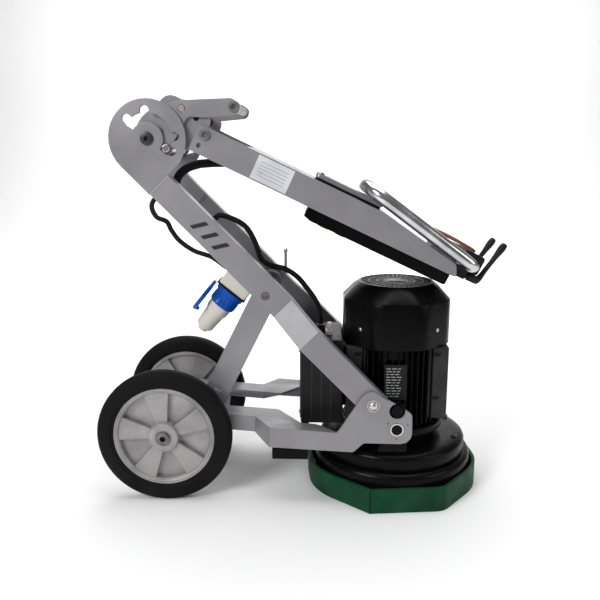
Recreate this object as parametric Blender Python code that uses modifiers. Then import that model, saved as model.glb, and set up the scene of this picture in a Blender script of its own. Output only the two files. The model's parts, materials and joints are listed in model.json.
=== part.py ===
"""Folding single-disc concrete grinder in its transport pose, as separate named parts.

X runs along the machine with the grinding head at +X, Y across it, Z up from the floor.
The near and far halves are mirror images about Y = 0 (near is -Y). All sizes in metres.
"""
import math

import bmesh
import bpy
from mathutils import Matrix, Vector

# ---------------------------------------------------------------- driving dimensions
GAP = 0.0003                    # between pieces that touch
FIT = 0.0006                    # radial play of a running fit

WHEEL_R = 0.125
WHEEL_Y = 0.116                 # middle of the tread from the machine's centre
TREAD_W = 0.030
RIM_R = 0.0935
RIM_W = 0.024
BOSS_R = 0.027
SPOKES = 5
SPOKE_HALF_DEG = 10.0
SPOKE_START_DEG = 98.0
POCKET_DEPTH = 0.008
AXLE_X = -0.247
AXLE_R = 0.0080

ARM_Y = 0.090                   # outer face behind the wheel
ARM_Y_OUT = 0.1363              # outer face beside the head
ARM_SHEET = 0.0057
ARM_FLANGE_W = 0.045
ARM_FLANGE_W_OUT = 0.034
ARM_JOG = (-0.081, -0.050)
TRUNNION = (0.178, 0.148)
TRUNNION_R = 0.0090
BUSH_R = 0.0125
STOP_R = 0.0105                 # rubber stop that floats in the notch
STOP_RISE = 0.035
STOP_PLAY = 0.0040
FOOT_BOLT = (0.135, 0.193)

BEAM_DEG = 45.6                 # slope of the lower beam
BEAM_DEPTH = 0.047
BEAM_SHEET = 0.0040
BEAM_FLANGE = 0.024
BEAM_Y = 0.090                  # outer face of the upper run
BEAM_Y_OUT = 0.130              # outer face of the lower run
BEAM_BEND = (0.0, 0.072)        # start and end of the sideways bend along the beam
BEAM_BEND_AT = (-0.0297, 0.3613)
BEAM_ENDS = (-0.306, 0.250)       # upper and lower end along the beam from the bend

STRUT_DEG = 63.3
STRUT_W = 0.046
STRUT_Y = 0.0655
STRUT_D = 0.020
STRUT_BOLT = (-0.0600, 0.3830)
STRUT_HOLE_DOWN = 0.206

PIVOT = (-0.2625, 0.6590)
PIVOT_R = 0.0085
HINGE_IN = 0.0671               # inner face of the handle's hinge plates
HINGE_T = 0.0060
QUAD_R = 0.0675
QUAD_T = 0.0060
QUAD_Y = 0.0857                 # outer face of the quadrant plates
SLOT_R = (0.0280, 0.0440)
SLOT_DEG = (-39.5, 147.5)
LOBE_R = 0.0480
LOBE_HOLE = 0.0079
LOBES_DEG = (-27.0, 4.0, 93.0, 135.0)
PIN_R = 0.0072
PIN_AT_R = 0.0360
PIN_DEG = -27.0

HANDLE_DEG = 25.3               # downward slope of the folded handle
HANDLE_START = 0.071
HANDLE_END = 0.597
HANDLE_LOW = 0.0134
HANDLE_TOP = 0.0615
HANDLE_TAPER = 0.426
HANDLE_TIP_TOP = 0.0336
HANDLE_Y = 0.0791               # outer face of the cheeks
CHEEK_T = 0.0057
COVER_T = 0.0025
DRIVE_U = (0.302, 0.588)
DRIVE_LOW = -0.0095
DRIVE_Y = 0.062
PANEL_U = (0.291, 0.424)
GASKET_T = 0.0040
PANEL_T = 0.0080

BUSH_AT = (-0.2020, 0.7095)
LEVER_T = 0.0060
LEVER_END = (-0.1110, 0.7120)

BAR_R = 0.0125
BAR_HALF = 0.068                # handlebar leg centres from the middle
BAR_TUBE = (0.620, 0.0430)      # cross tube in handle coordinates
BAR_TOP = (0.3815, 0.0905)
CLAMP_Y = BAR_HALF - 0.028       # clamps sit on the straight of the cross tube
CLAMP_W = 0.022
GRIP_HUB_V = 0.022

HEAD_X = 0.184
DISH_R = 0.142
DISH_Z = (0.0663, 0.100)
PAN_R = 0.1540
PAN_Z = (0.030, 0.066)
SKIRT_FLAT = 0.164              # centre to outer flat
SKIRT_WALL = 0.006
SKIRT_SHIFT = -0.002            # the loose skirt hangs a little towards the wheels
SKIRT_BENDS = (0.12, 0.0, 0.035, 0.12)  # corner radii: two strips meet square, the others bend round
SKIRT_H = 0.046
SKIRT_TURN_DEG = 5.5
MOTOR_R = 0.082
FIN_R = 0.094
MOTOR_Z = (0.1253, 0.284)
PAD_X = (0.058, 0.0955)         # bolt pads on the motor, from its middle
PAD_Y = (0.030, 0.0645)
PAD_HOLES_Z = (0.183, 0.268)
COWL_R = 0.100
COWL_Z = (0.2843, 0.368, 0.3965)
COWL_TOP_R = 0.074
CASE_X = (0.003, 0.0830)
CASE_Y = 0.072
CASE_Z = (0.132, 0.296)

PLUG_DEG = 231.0                # direction in which the inlet points
PLUG_Y = -0.020
PLUG_AT = (-0.1215, 0.3870)     # middle of the box's outer face line
CABLE_R = 0.0045
HARNESS_R = 0.0080

# ---------------------------------------------------------------- scene and materials
for item in list(bpy.data.objects):
    bpy.data.objects.remove(item, do_unlink=True)

parts = bpy.data.collections.new("concrete_grinder")
bpy.context.scene.collection.children.link(parts)
cutters = bpy.data.collections.new("cutters")
bpy.context.scene.collection.children.link(cutters)


def material(name, colour, roughness, metallic):
    found = bpy.data.materials.get(name)
    if found:
        return found
    made = bpy.data.materials.new(name)
    made.use_nodes = True
    shader = made.node_tree.nodes["Principled BSDF"]
    shader.inputs["Base Color"].default_value = (*colour, 1.0)
    shader.inputs["Roughness"].default_value = roughness
    shader.inputs["Metallic"].default_value = metallic
    made.diffuse_color = (*colour, 1.0)
    return made


SILVER = ("silver_paint", (0.36, 0.35, 0.38), 0.45, 0.3)
CAST = ("cast_aluminium", (0.42, 0.42, 0.43), 0.4, 0.8)
RUBBER = ("black_rubber", (0.02, 0.02, 0.02), 0.8, 0.0)
TYRE = ("tyre_rubber", (0.03, 0.029, 0.028), 0.8, 0.0)
BLACK = ("black_paint", (0.015, 0.015, 0.016), 0.35, 0.0)
STEEL = ("bright_steel", (0.6, 0.6, 0.6), 0.25, 1.0)
CHROME = ("chrome", (0.75, 0.75, 0.76), 0.08, 1.0)
BRONZE = ("bronze", (0.55, 0.3, 0.2), 0.35, 1.0)
GREEN = ("green_rubber", (0.012, 0.07, 0.03), 0.7, 0.0)
IVORY = ("ivory_plastic", (0.68, 0.66, 0.6), 0.4, 0.0)
BLUE = ("blue_plastic", (0.02, 0.08, 0.4), 0.4, 0.0)
BROWN = ("brown_pad", (0.25, 0.1, 0.07), 0.6, 0.0)
DARK_STEEL = ("dark_steel", (0.1, 0.1, 0.1), 0.45, 0.9)
PLASTIC = ("black_plastic", (0.02, 0.02, 0.021), 0.45, 0.0)
RED = ("red_plastic", (0.5, 0.02, 0.02), 0.4, 0.0)
LIME = ("green_plastic", (0.02, 0.3, 0.06), 0.4, 0.0)


# ---------------------------------------------------------------- helpers
def keep(name, mesh, look=None, smooth=False):
    """A named object from a mesh; without a look it is a cutter or a joining piece."""
    thing = bpy.data.objects.new(name, mesh)
    mesh.name = name
    if look:
        parts.objects.link(thing)
        mesh.materials.clear()
        mesh.materials.append(material(*look))
    else:
        cutters.objects.link(thing)
        thing.hide_render = True
        thing.display_type = "WIRE"
    if smooth:
        mesh.shade_smooth()
        mesh.set_sharp_from_angle(angle=math.radians(35))
    return thing


def boolean(thing, tool, operation="DIFFERENCE"):
    step = thing.modifiers.new(operation.lower(), "BOOLEAN")
    step.operation = operation
    step.object = tool
    return thing


def soften(thing, width, segments=2, angle=40):
    step = thing.modifiers.new("edges", "BEVEL")
    step.width = width
    step.segments = segments
    step.limit_method = "ANGLE"
    step.angle_limit = math.radians(angle)
    return thing


def circle(centre, radius, count=16, start=0.0):
    turn = 2 * math.pi / count
    return [(centre[0] + radius * math.cos(start + i * turn),
             centre[1] + radius * math.sin(start + i * turn)) for i in range(count)]


def arc(centre, radius, first_deg, last_deg, count):
    step = math.radians(last_deg - first_deg) / count
    first = math.radians(first_deg)
    return [(centre[0] + radius * math.cos(first + i * step),
             centre[1] + radius * math.sin(first + i * step)) for i in range(count + 1)]


def rounded(corners, radius, count=3):
    """The polygon with each corner replaced by an arc; radius may be one per corner."""
    radii = radius if isinstance(radius, (list, tuple)) else [radius] * len(corners)
    points = []
    for i, here in enumerate(corners):
        here = Vector(here)
        before = (Vector(corners[i - 1]) - here).normalized()
        after = (Vector(corners[(i + 1) % len(corners)]) - here).normalized()
        size = radii[i]
        if size <= 0:
            points.append(tuple(here))
            continue
        half = before.angle(after) / 2
        reach = size / math.tan(half)
        middle = here + (before + after).normalized() * (size / math.sin(half))
        one = here + before * reach - middle
        sweep = one.angle_signed(here + after * reach - middle)
        for k in range(count + 1):
            turn = -sweep * k / count
            x = one.x * math.cos(turn) - one.y * math.sin(turn)
            y = one.x * math.sin(turn) + one.y * math.cos(turn)
            points.append((middle.x + x, middle.y + y))
    return points


def slab(loops, thickness):
    """Mesh of a flat outline with holes, extruded half its thickness each way along Z."""
    curve = bpy.data.curves.new("outline", "CURVE")
    curve.dimensions = "2D"
    curve.fill_mode = "BOTH"
    curve.extrude = thickness / 2
    for loop in loops:
        spline = curve.splines.new("POLY")
        spline.points.add(len(loop) - 1)
        for point, place in zip(spline.points, loop):
            point.co = (place[0], place[1], 0.0, 1.0)
        spline.use_cyclic_u = True
    holder = bpy.data.objects.new("outline", curve)
    cutters.objects.link(holder)
    bpy.context.view_layer.update()
    view = holder.evaluated_get(bpy.context.evaluated_depsgraph_get())
    mesh = bpy.data.meshes.new_from_object(view)
    bpy.data.objects.remove(holder, do_unlink=True)
    shell = bmesh.new()
    shell.from_mesh(mesh)
    bmesh.ops.remove_doubles(shell, verts=shell.verts, dist=1e-6)
    bmesh.ops.dissolve_limit(shell, angle_limit=0.002, verts=shell.verts, edges=shell.edges)
    bmesh.ops.recalc_face_normals(shell, faces=shell.faces)
    shell.to_mesh(mesh)
    shell.free()
    return mesh


UPRIGHT = Matrix.Rotation(math.pi / 2, 4, "X")      # outline (x, y) to side view (x, z)


def side_plate(name, loops, y_inner, y_outer, side, look=None, smooth=True):
    """A plate in the XZ plane between two distances from the middle, on one side."""
    mesh = slab(loops, y_outer - y_inner)
    mesh.transform(Matrix.Translation((0, side * (y_outer + y_inner) / 2, 0)) @ UPRIGHT)
    return keep(name, mesh, look, smooth)


def plan_plate(name, loops, z_low, z_high, look=None, smooth=True):
    mesh = slab(loops, z_high - z_low)
    mesh.transform(Matrix.Translation((0, 0, (z_high + z_low) / 2)))
    return keep(name, mesh, look, smooth)


def box(name, low, high, look=None):
    shell = bmesh.new()
    bmesh.ops.create_cube(shell, size=1.0)
    size = [b - a for a, b in zip(low, high)]
    middle = [(a + b) / 2 for a, b in zip(low, high)]
    bmesh.ops.scale(shell, vec=size, verts=shell.verts)
    bmesh.ops.translate(shell, vec=middle, verts=shell.verts)
    mesh = bpy.data.meshes.new(name)
    shell.to_mesh(mesh)
    shell.free()
    return keep(name, mesh, look)


def rod(name, start, end, radius, look=None, sides=20):
    """A plain cylinder from one point to another."""
    start = Vector(start)
    run = Vector(end) - start
    shell = bmesh.new()
    bmesh.ops.create_cone(shell, cap_ends=True, segments=sides, radius1=radius, radius2=radius,
                          depth=run.length)
    turn = run.to_track_quat("Z", "Y").to_matrix().to_4x4()
    shell.transform(Matrix.Translation(start + run / 2) @ turn)
    mesh = bpy.data.meshes.new(name)
    shell.to_mesh(mesh)
    shell.free()
    return keep(name, mesh, look, smooth=True)


def turned(name, profile, steps, matrix, look=None):
    """A profile of (radius, height) pairs, outer side running downwards, turned about Z."""
    mesh = bpy.data.meshes.new(name)
    shell = bmesh.new()
    ring = [shell.verts.new((r, 0.0, z)) for r, z in profile]
    closed = profile[0][0] > 1e-9
    for one, two in zip(ring, ring[1:] + ring[:1] if closed else ring[1:]):
        shell.edges.new((one, two))
    shell.to_mesh(mesh)
    shell.free()
    thing = keep(name, mesh, look)
    screw = thing.modifiers.new("turn", "SCREW")
    screw.steps = steps
    screw.render_steps = steps
    screw.use_merge_vertices = True
    screw.merge_threshold = 0.00001
    screw.use_smooth_shade = True
    thing.matrix_world = matrix
    return thing


def tube(name, route, radius, look, cyclic=False, sides=3):
    """A round bar or cable along points, with closed ends."""
    curve = bpy.data.curves.new(name, "CURVE")
    curve.dimensions = "3D"
    curve.bevel_depth = radius
    curve.bevel_resolution = sides
    curve.use_fill_caps = not cyclic
    spline = curve.splines.new("POLY")
    spline.points.add(len(route) - 1)
    for point, place in zip(spline.points, route):
        point.co = (*place, 1.0)
    spline.use_cyclic_u = cyclic
    spline.use_smooth = True
    thing = bpy.data.objects.new(name, curve)
    curve.materials.append(material(*look))
    parts.objects.link(thing)
    return thing


def smooth_route(points, spacing, closed=False):
    """A Catmull-Rom curve through the points, read at an even spacing."""
    points = [Vector(p) for p in points]
    if closed:
        ends = [points[-1]] + points + points[:2]
    else:
        ends = [points[0] * 2 - points[1]] + points + [points[-1] * 2 - points[-2]]
    fine = []
    for a, b, c, d in zip(ends, ends[1:], ends[2:], ends[3:]):
        for k in range(24):
            t = k / 24
            fine.append(0.5 * (2 * b + (c - a) * t + (2 * a - 5 * b + 4 * c - d) * t * t
                               + (3 * b - a - 3 * c + d) * t ** 3))
    if not closed:
        fine.append(points[-1])
    length = [0.0]
    for one, two in zip(fine, fine[1:]):
        length.append(length[-1] + (two - one).length)
    count = max(2, round(length[-1] / spacing))
    route = []
    j = 0
    for i in range(count + 1):
        want = length[-1] * i / count
        while j < len(fine) - 2 and length[j + 1] < want:
            j += 1
        part = (want - length[j]) / max(length[j + 1] - length[j], 1e-9)
        route.append(fine[j].lerp(fine[j + 1], min(max(part, 0.0), 1.0)))
    return route


def facing_y(x, z, y=0.0):
    """Placement of a turned shape whose axis runs along +Y."""
    return Matrix.Translation((x, y, z)) @ Matrix.Rotation(-math.pi / 2, 4, "X")


def mirrored(matrix, side):
    return matrix if side > 0 else Matrix.Diagonal((1, -1, 1, 1)) @ matrix


def empty(name, x, y, z, turn_deg=0.0):
    """A parent on a joint axis, turned about Y."""
    holder = bpy.data.objects.new(name, None)
    cutters.objects.link(holder)
    holder.matrix_world = Matrix.Translation((x, y, z)) @ Matrix.Rotation(math.radians(turn_deg), 4, "Y")
    return holder


SIDES = (("near", -1), ("far", 1))

# ---------------------------------------------------------------- wheels
def pocket_cutter(name, angle_deg, z_low, z_high):
    """A rounded sector between two spokes, cut into the wheel's outer face."""
    half = 180.0 / SPOKES - SPOKE_HALF_DEG
    inner = BOSS_R + 0.007
    outer = RIM_R - 0.012
    loop = arc((0, 0), outer, angle_deg - half, angle_deg + half, 8)
    spread = half - 4
    loop += arc((0, 0), inner, angle_deg + spread, angle_deg - spread, 3)
    mesh = slab([loop], z_high - z_low)
    mesh.transform(Matrix.Translation((0, 0, (z_high + z_low) / 2)))
    return keep(name, mesh)


def wheel(side_name, side):
    half = TREAD_W / 2
    place = mirrored(facing_y(AXLE_X, WHEEL_R, WHEEL_Y), side)
    if side < 0:
        place = Matrix.Translation((AXLE_X, -WHEEL_Y, WHEEL_R)) @ Matrix.Rotation(math.pi / 2, 4, "X")
    inner = RIM_R + GAP
    tyre = [(inner, half - 0.002), (inner + 0.008, half), (WHEEL_R - 0.010, half),
            (WHEEL_R - 0.003, half - 0.003), (WHEEL_R, half - 0.009),
            (WHEEL_R, 0.009 - half), (WHEEL_R - 0.003, 0.003 - half),
            (WHEEL_R - 0.010, -half), (inner + 0.008, -half), (inner, 0.002 - half)]
    turned(f"tyre_{side_name}", tyre, 32, place, TYRE)
    rim = RIM_W / 2
    bore = AXLE_R + FIT
    hub = [(bore, rim + 0.004), (BOSS_R - 0.002, rim + 0.004), (BOSS_R, rim + 0.002),
           (BOSS_R, rim - 0.003), (RIM_R - 0.008, rim - 0.003), (RIM_R - 0.006, rim),
           (RIM_R, rim), (RIM_R, -rim), (RIM_R - 0.006, -rim), (RIM_R - 0.008, -rim + 0.006),
           (BOSS_R, -rim + 0.006), (BOSS_R, -rim), (bore, -rim)]
    body = turned(f"wheel_{side_name}", hub, 32, place, CAST)
    for i in range(SPOKES):
        middle = SPOKE_START_DEG + 180.0 / SPOKES + i * 360.0 / SPOKES
        if side > 0:
            middle = 180.0 - middle
        cut = pocket_cutter(f"pocket_{side_name}_{i}", middle, rim - 0.003 - POCKET_DEPTH, rim + 0.02)
        cut.matrix_world = place
        boolean(body, cut)


for wheel_side in SIDES:
    wheel(*wheel_side)

axle_end = WHEEL_Y + RIM_W / 2 + 0.0095
collar = (ARM_Y + GAP, WHEEL_Y - RIM_W / 2 - GAP)
cap = WHEEL_Y + RIM_W / 2 + 0.004 + GAP
axle_profile = [(0.0, axle_end), (0.0105, axle_end), (0.0125, axle_end - 0.002), (0.0125, cap),
                (AXLE_R, cap), (AXLE_R, collar[1]), (0.014, collar[1]), (0.014, collar[0]),
                (AXLE_R, collar[0])]
axle_profile += [(r, -z) for r, z in reversed(axle_profile)]
axle = turned("axle", axle_profile, 14, facing_y(AXLE_X, WHEEL_R), STEEL)
for side_name, side in SIDES:
    socket = rod(f"axle_socket_{side_name}", (AXLE_X, side * (axle_end - 0.006), WHEEL_R),
                 (AXLE_X, side * (axle_end + 0.01), WHEEL_R), 0.0052, sides=6)
    boolean(axle, socket)


# ---------------------------------------------------------------- chassis arms
ARM_SLOPE_DEG = 4.3
ARM_REF = (-0.081, 0.152)


def arm_local(x, z):
    """A world side-view point in the frame in which the sloping arm lies level."""
    turn = math.radians(ARM_SLOPE_DEG)
    dx, dz = x - ARM_REF[0], z - ARM_REF[1]
    return (ARM_REF[0] + dx * math.cos(turn) - dz * math.sin(turn),
            ARM_REF[1] + dx * math.sin(turn) + dz * math.cos(turn))


def arm_frame():
    move = Matrix.Translation((ARM_REF[0], 0, ARM_REF[1]))
    return move @ Matrix.Rotation(math.radians(ARM_SLOPE_DEG), 4, "Y") @ move.inverted()


def chassis_arm(side_name, side):
    top = ARM_REF[1]
    low = top - 0.030
    low_out = top - 0.0380
    axle_at = arm_local(AXLE_X, WHEEL_R)
    trunnion = arm_local(*TRUNNION)
    stop = arm_local(TRUNNION[0], TRUNNION[1] + STOP_RISE)
    foot = arm_local(*FOOT_BOLT)
    # side outline, level frame: axle lug, arm, upstand that carries beam foot and trunnion
    outline = [(axle_at[0] - 0.024, axle_at[1] - 0.024), (axle_at[0] + 0.022, axle_at[1] - 0.024),
               (axle_at[0] + 0.030, low), (ARM_JOG[0], low), (ARM_JOG[1] + 0.001, low_out),
               arm_local(0.100, 0.1035), arm_local(0.119, 0.1215),
               (trunnion[0] + 0.030, trunnion[1] - 0.0255), (trunnion[0] + 0.0245, trunnion[1] + 0.031),
               (stop[0] + 0.004, stop[1] + 0.010), (foot[0] + 0.016, foot[1] + 0.0165),
               (foot[0] - 0.006, foot[1] + 0.030), (foot[0] - 0.022, foot[1] + 0.014),
               (0.0715, top), (axle_at[0] - 0.024, top)]
    radii = [0.018, 0.010, 0.004, 0, 0, 0.006, 0.006, 0.020, 0.010, 0.002, 0.006, 0.015, 0.010,
             0.004, 0.012]
    side_shape = side_plate(f"arm_side_{side_name}", [rounded(outline, radii)], 0.02, 0.16, side)
    # plan outline of the bent sheet, then of its top flange
    rear = axle_at[0] - 0.03
    front = 0.215
    web = [(rear, ARM_Y), (ARM_JOG[0], ARM_Y), (ARM_JOG[1], ARM_Y_OUT), (front, ARM_Y_OUT),
           (front, ARM_Y_OUT - ARM_SHEET), (ARM_JOG[1] + 0.002, ARM_Y_OUT - ARM_SHEET),
           (ARM_JOG[0] + 0.002, ARM_Y - ARM_SHEET), (rear, ARM_Y - ARM_SHEET)]
    inner = ARM_Y - ARM_FLANGE_W
    inner_out = ARM_Y_OUT - ARM_FLANGE_W_OUT
    flange = [(rear, ARM_Y), (ARM_JOG[0], ARM_Y), (ARM_JOG[1], ARM_Y_OUT), (0.072, ARM_Y_OUT),
              (0.064, ARM_Y_OUT - ARM_SHEET - 0.004), (0.044, inner_out + 0.006), (0.030, inner_out),
              (0.004, inner_out), (-0.040, inner), (rear, inner)]

    def plan(loop):
        return [(x, side * y) for x, y in loop]

    arm = plan_plate(f"arm_{side_name}", [plan(web)], 0.06, 0.26, SILVER)
    boolean(arm, side_shape, "INTERSECT")
    deck = plan_plate(f"arm_deck_{side_name}", [plan(flange)], top - ARM_SHEET, top - 0.00001)
    trim = side_plate(f"arm_trim_{side_name}", [rounded([
        (axle_at[0] - 0.024, low), (0.09, low), (0.09, top), (axle_at[0] - 0.024, top)],
        [0, 0, 0, 0.012])], 0.02, 0.16, side)
    boolean(deck, trim, "INTERSECT")
    boolean(arm, deck, "UNION")
    bolt = turned(f"foot_bolt_{side_name}",
                  [(0.0, 0.0062), (0.005, 0.0056), (0.0088, 0.0035), (0.0105, 0.0), (0.0105, -0.001),
                   (0.0, -0.001)], 14,
                  Matrix.Translation((foot[0], side * ARM_Y_OUT, foot[1]))
                  @ Matrix.Rotation(-side * math.pi / 2, 4, "X"))
    boolean(arm, bolt, "UNION")
    cuts = [("lug_bore", axle_at, AXLE_R + GAP, 0.02, 0.16, 20),
            ("bush_seat", trunnion, BUSH_R + GAP, 0.12, 0.16, 24),
            ("stop_notch", stop, STOP_R + STOP_PLAY, 0.12, 0.16, 24)]
    for label, at, radius, y_in, y_out, sides in cuts:
        cut = side_plate(f"{label}_{side_name}", [circle(at, radius, sides)], y_in, y_out, side)
        boolean(arm, cut)
    for piece in (arm, side_shape, deck, trim, bolt):
        piece.matrix_world = arm_frame() @ piece.matrix_world
    for label, *_ in cuts:
        cut = bpy.data.objects[f"{label}_{side_name}"]
        cut.matrix_world = arm_frame()
    turned(f"trunnion_bush_{side_name}",
           [(BUSH_R, 0.0070), (BUSH_R, 0.0), (TRUNNION_R + FIT, 0.0), (TRUNNION_R + FIT, 0.0070)], 24,
           Matrix.Translation((TRUNNION[0], side * (ARM_Y_OUT - ARM_SHEET), TRUNNION[1]))
           @ Matrix.Rotation(-side * math.pi / 2, 4, "X"), STEEL)


for arm_side in SIDES:
    chassis_arm(*arm_side)

cross_bar_plan = [(-0.048, -0.128), (0.018, -0.128), (0.018, 0.128), (0.002, 0.128), (0.002, -0.084), (-0.048, -0.084)]
cross_bar = plan_plate("cross_bar", [cross_bar_plan], 0.084, 0.1055, BLACK)
soften(cross_bar, 0.002)


# ---------------------------------------------------------------- lower beams and struts
def beam_frame():
    """X down along the beam, Z across it and upward, origin where the bend starts."""
    return (Matrix.Translation((BEAM_BEND_AT[0], 0, BEAM_BEND_AT[1]))
            @ Matrix.Rotation(math.radians(BEAM_DEG), 4, "Y"))


def beam_local(x, z):
    place = beam_frame().inverted() @ Vector((x, 0, z))
    return place.x, place.z


def beam(side_name, side):
    bend = BEAM_BEND[1]

    def ribbon(outer, inner, ends):
        """Plan outline between two offsets from the bent outer face."""
        up, down = ends
        outline = [(up, BEAM_Y - outer), (0, BEAM_Y - outer), (bend, BEAM_Y_OUT - outer),
                   (down, BEAM_Y_OUT - outer), (down, BEAM_Y_OUT - inner), (bend, BEAM_Y_OUT - inner),
                   (0, BEAM_Y - inner), (up, BEAM_Y - inner)]
        return [(x, side * y) for x, y in outline]

    half = BEAM_DEPTH / 2
    whole = plan_plate(f"beam_{side_name}", [ribbon(0, BEAM_FLANGE, BEAM_ENDS)],
                       -half, half, SILVER)
    hollow = plan_plate(f"beam_hollow_{side_name}",
                        [ribbon(BEAM_SHEET, BEAM_FLANGE + 0.01, (BEAM_ENDS[0] - 0.014, BEAM_ENDS[1] + 0.01))],
                        BEAM_SHEET - half, half - BEAM_SHEET)
    boolean(whole, hollow)
    at = beam_local(*STRUT_BOLT)
    hole = side_plate(f"beam_hole_{side_name}", [circle(at, 0.0078, 20)], 0.05, 0.16, side)
    boolean(whole, hole)
    for piece in (whole, hollow, hole):
        piece.matrix_world = beam_frame()
    # quadrant plate under the beam's end: a round head, square to the beam on two sides
    pivot = beam_local(*PIVOT)
    low = pivot[1] - QUAD_R
    edge = pivot[0] + QUAD_R
    tongue = half - BEAM_SHEET - GAP
    outline = arc(pivot, QUAD_R, 0, 270, 28)
    shoulder = BEAM_ENDS[0] - 0.0005
    tongue_end = shoulder + 0.0565
    outline += [(shoulder, low), (shoulder, -tongue), (tongue_end, -tongue), (tongue_end, tongue),
                (shoulder, tongue), (shoulder, half + 0.001), (edge, half + 0.004)]
    world = BEAM_DEG

    def slot():
        first, last = SLOT_DEG
        ring = arc(pivot, SLOT_R[1], first + world, last + world, 18)
        ring += arc(pivot, SLOT_R[0], last + world, first + world, 14)
        return ring

    plate = side_plate(f"quadrant_{side_name}", [outline, circle(pivot, PIVOT_R + GAP, 20)],
                       QUAD_Y - QUAD_T, QUAD_Y, side, SILVER)
    cuts = [side_plate(f"quadrant_slot_{side_name}", [slot()], 0.07, 0.1, side)]
    for i, turn in enumerate(LOBES_DEG):
        angle = math.radians(turn + world)
        at = (pivot[0] + LOBE_R * math.cos(angle), pivot[1] + LOBE_R * math.sin(angle))
        throat = (pivot[0] + PIN_AT_R * math.cos(angle), pivot[1] + PIN_AT_R * math.sin(angle))
        across = Vector((-math.sin(angle), math.cos(angle))) * LOBE_HOLE
        lobe = arc(at, LOBE_HOLE, turn + world - 90, turn + world + 90, 6)
        lobe += [(throat[0] + across.x, throat[1] + across.y), (throat[0] - across.x, throat[1] - across.y)]
        cuts.append(side_plate(f"lobe_{side_name}_{i}", [lobe], 0.07, 0.1, side))
    for cut in cuts:
        boolean(plate, cut)
        cut.matrix_world = beam_frame()
    plate.matrix_world = beam_frame()


def strut(side_name, side):
    along = Vector((-math.cos(math.radians(STRUT_DEG)), -math.sin(math.radians(STRUT_DEG))))
    across = Vector((-along.y, along.x))
    top = Vector(STRUT_BOLT)
    floor_z = ARM_REF[1] + GAP

    def edge(offset, level):
        start = top + across * offset
        return start + along * ((start.y - level) / -along.y)

    def outline(inset):
        half = STRUT_W / 2 - inset
        angle = math.degrees(math.atan2(across.y, across.x))
        loop = arc(top, half, angle, angle + 180, 12)
        ends = []
        for offset in (-half, half):
            foot = edge(offset, floor_z)
            level = floor_z - (foot.x - ARM_REF[0]) * math.tan(math.radians(ARM_SLOPE_DEG)) + inset
            ends.append(tuple(edge(offset, level)))
        return loop + ends

    hole_at = top + along * STRUT_HOLE_DOWN
    body = side_plate(f"strut_{side_name}", [outline(0.0), circle(top, AXLE_R + GAP, 16),
                                             circle(hole_at, 0.0065, 16)],
                      STRUT_Y - STRUT_D, STRUT_Y, side, SILVER)
    pocket = side_plate(f"strut_pocket_{side_name}", [outline(0.004)],
                        STRUT_Y - STRUT_D - 0.01, STRUT_Y - 0.004, side)
    boolean(body, pocket)


for beam_side in SIDES:
    beam(*beam_side)
    strut(*beam_side)

tie = [(0.0, BEAM_Y - BEAM_SHEET - GAP), (AXLE_R, BEAM_Y - BEAM_SHEET - GAP), (AXLE_R, 0.040),
       (0.0125, 0.040)]
tie += [(r, -z) for r, z in reversed(tie)]
turned("strut_tie", tie, 14, facing_y(*STRUT_BOLT), DARK_STEEL)

pivot_profile = [(0.0, QUAD_Y + 0.004), (0.0085, QUAD_Y + 0.004), (0.0115, QUAD_Y + 0.0025),
                 (0.0115, QUAD_Y + GAP), (PIVOT_R, QUAD_Y + GAP), (PIVOT_R, HINGE_IN - GAP),
                 (0.013, HINGE_IN - GAP)]
pivot_profile += [(r, -z) for r, z in reversed(pivot_profile)]
pivot_bolt = turned("pivot_bolt", pivot_profile, 14, facing_y(*PIVOT), DARK_STEEL)
for side_name, side in SIDES:
    socket = rod(f"pivot_socket_{side_name}", (PIVOT[0], side * (QUAD_Y - 0.002), PIVOT[1]),
                 (PIVOT[0], side * (QUAD_Y + 0.01), PIVOT[1]), 0.0045, sides=6)
    boolean(pivot_bolt, socket)

# ---------------------------------------------------------------- grinding head
head_tilt = empty("head_tilt", TRUNNION[0], 0, TRUNNION[1])
spin = empty("spin", HEAD_X, 0, 0)
float_z = empty("skirt_float", HEAD_X, 0, 0)


def hang(thing, holder):
    """Parent a piece to the empty on its joint without moving it."""
    bpy.context.view_layer.update()
    thing.parent = holder
    thing.matrix_parent_inverse = holder.matrix_world.inverted()
    return thing


def on_head(x, y, z):
    return Matrix.Translation((HEAD_X + x, y, z))


pan_wall = 0.0050
pan = turned("pan", [(0.0, PAN_Z[1]), (PAN_R - 0.004, PAN_Z[1]), (PAN_R, PAN_Z[1] - 0.004),
                     (PAN_R, PAN_Z[0]), (PAN_R - pan_wall, PAN_Z[0]),
                     (PAN_R - pan_wall, PAN_Z[1] - pan_wall), (0.0, PAN_Z[1] - pan_wall)],
             36, on_head(0, 0, 0), BLACK)
dish = turned("dish", [(0.0, DISH_Z[1]), (0.118, DISH_Z[1]), (0.132, DISH_Z[1] - 0.0025),
                       (DISH_R, DISH_Z[1] - 0.008), (DISH_R, DISH_Z[0]), (0.0, DISH_Z[0])],
              36, on_head(0, 0, 0), BLACK)
hang(pan, head_tilt)
hang(dish, head_tilt)


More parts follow.
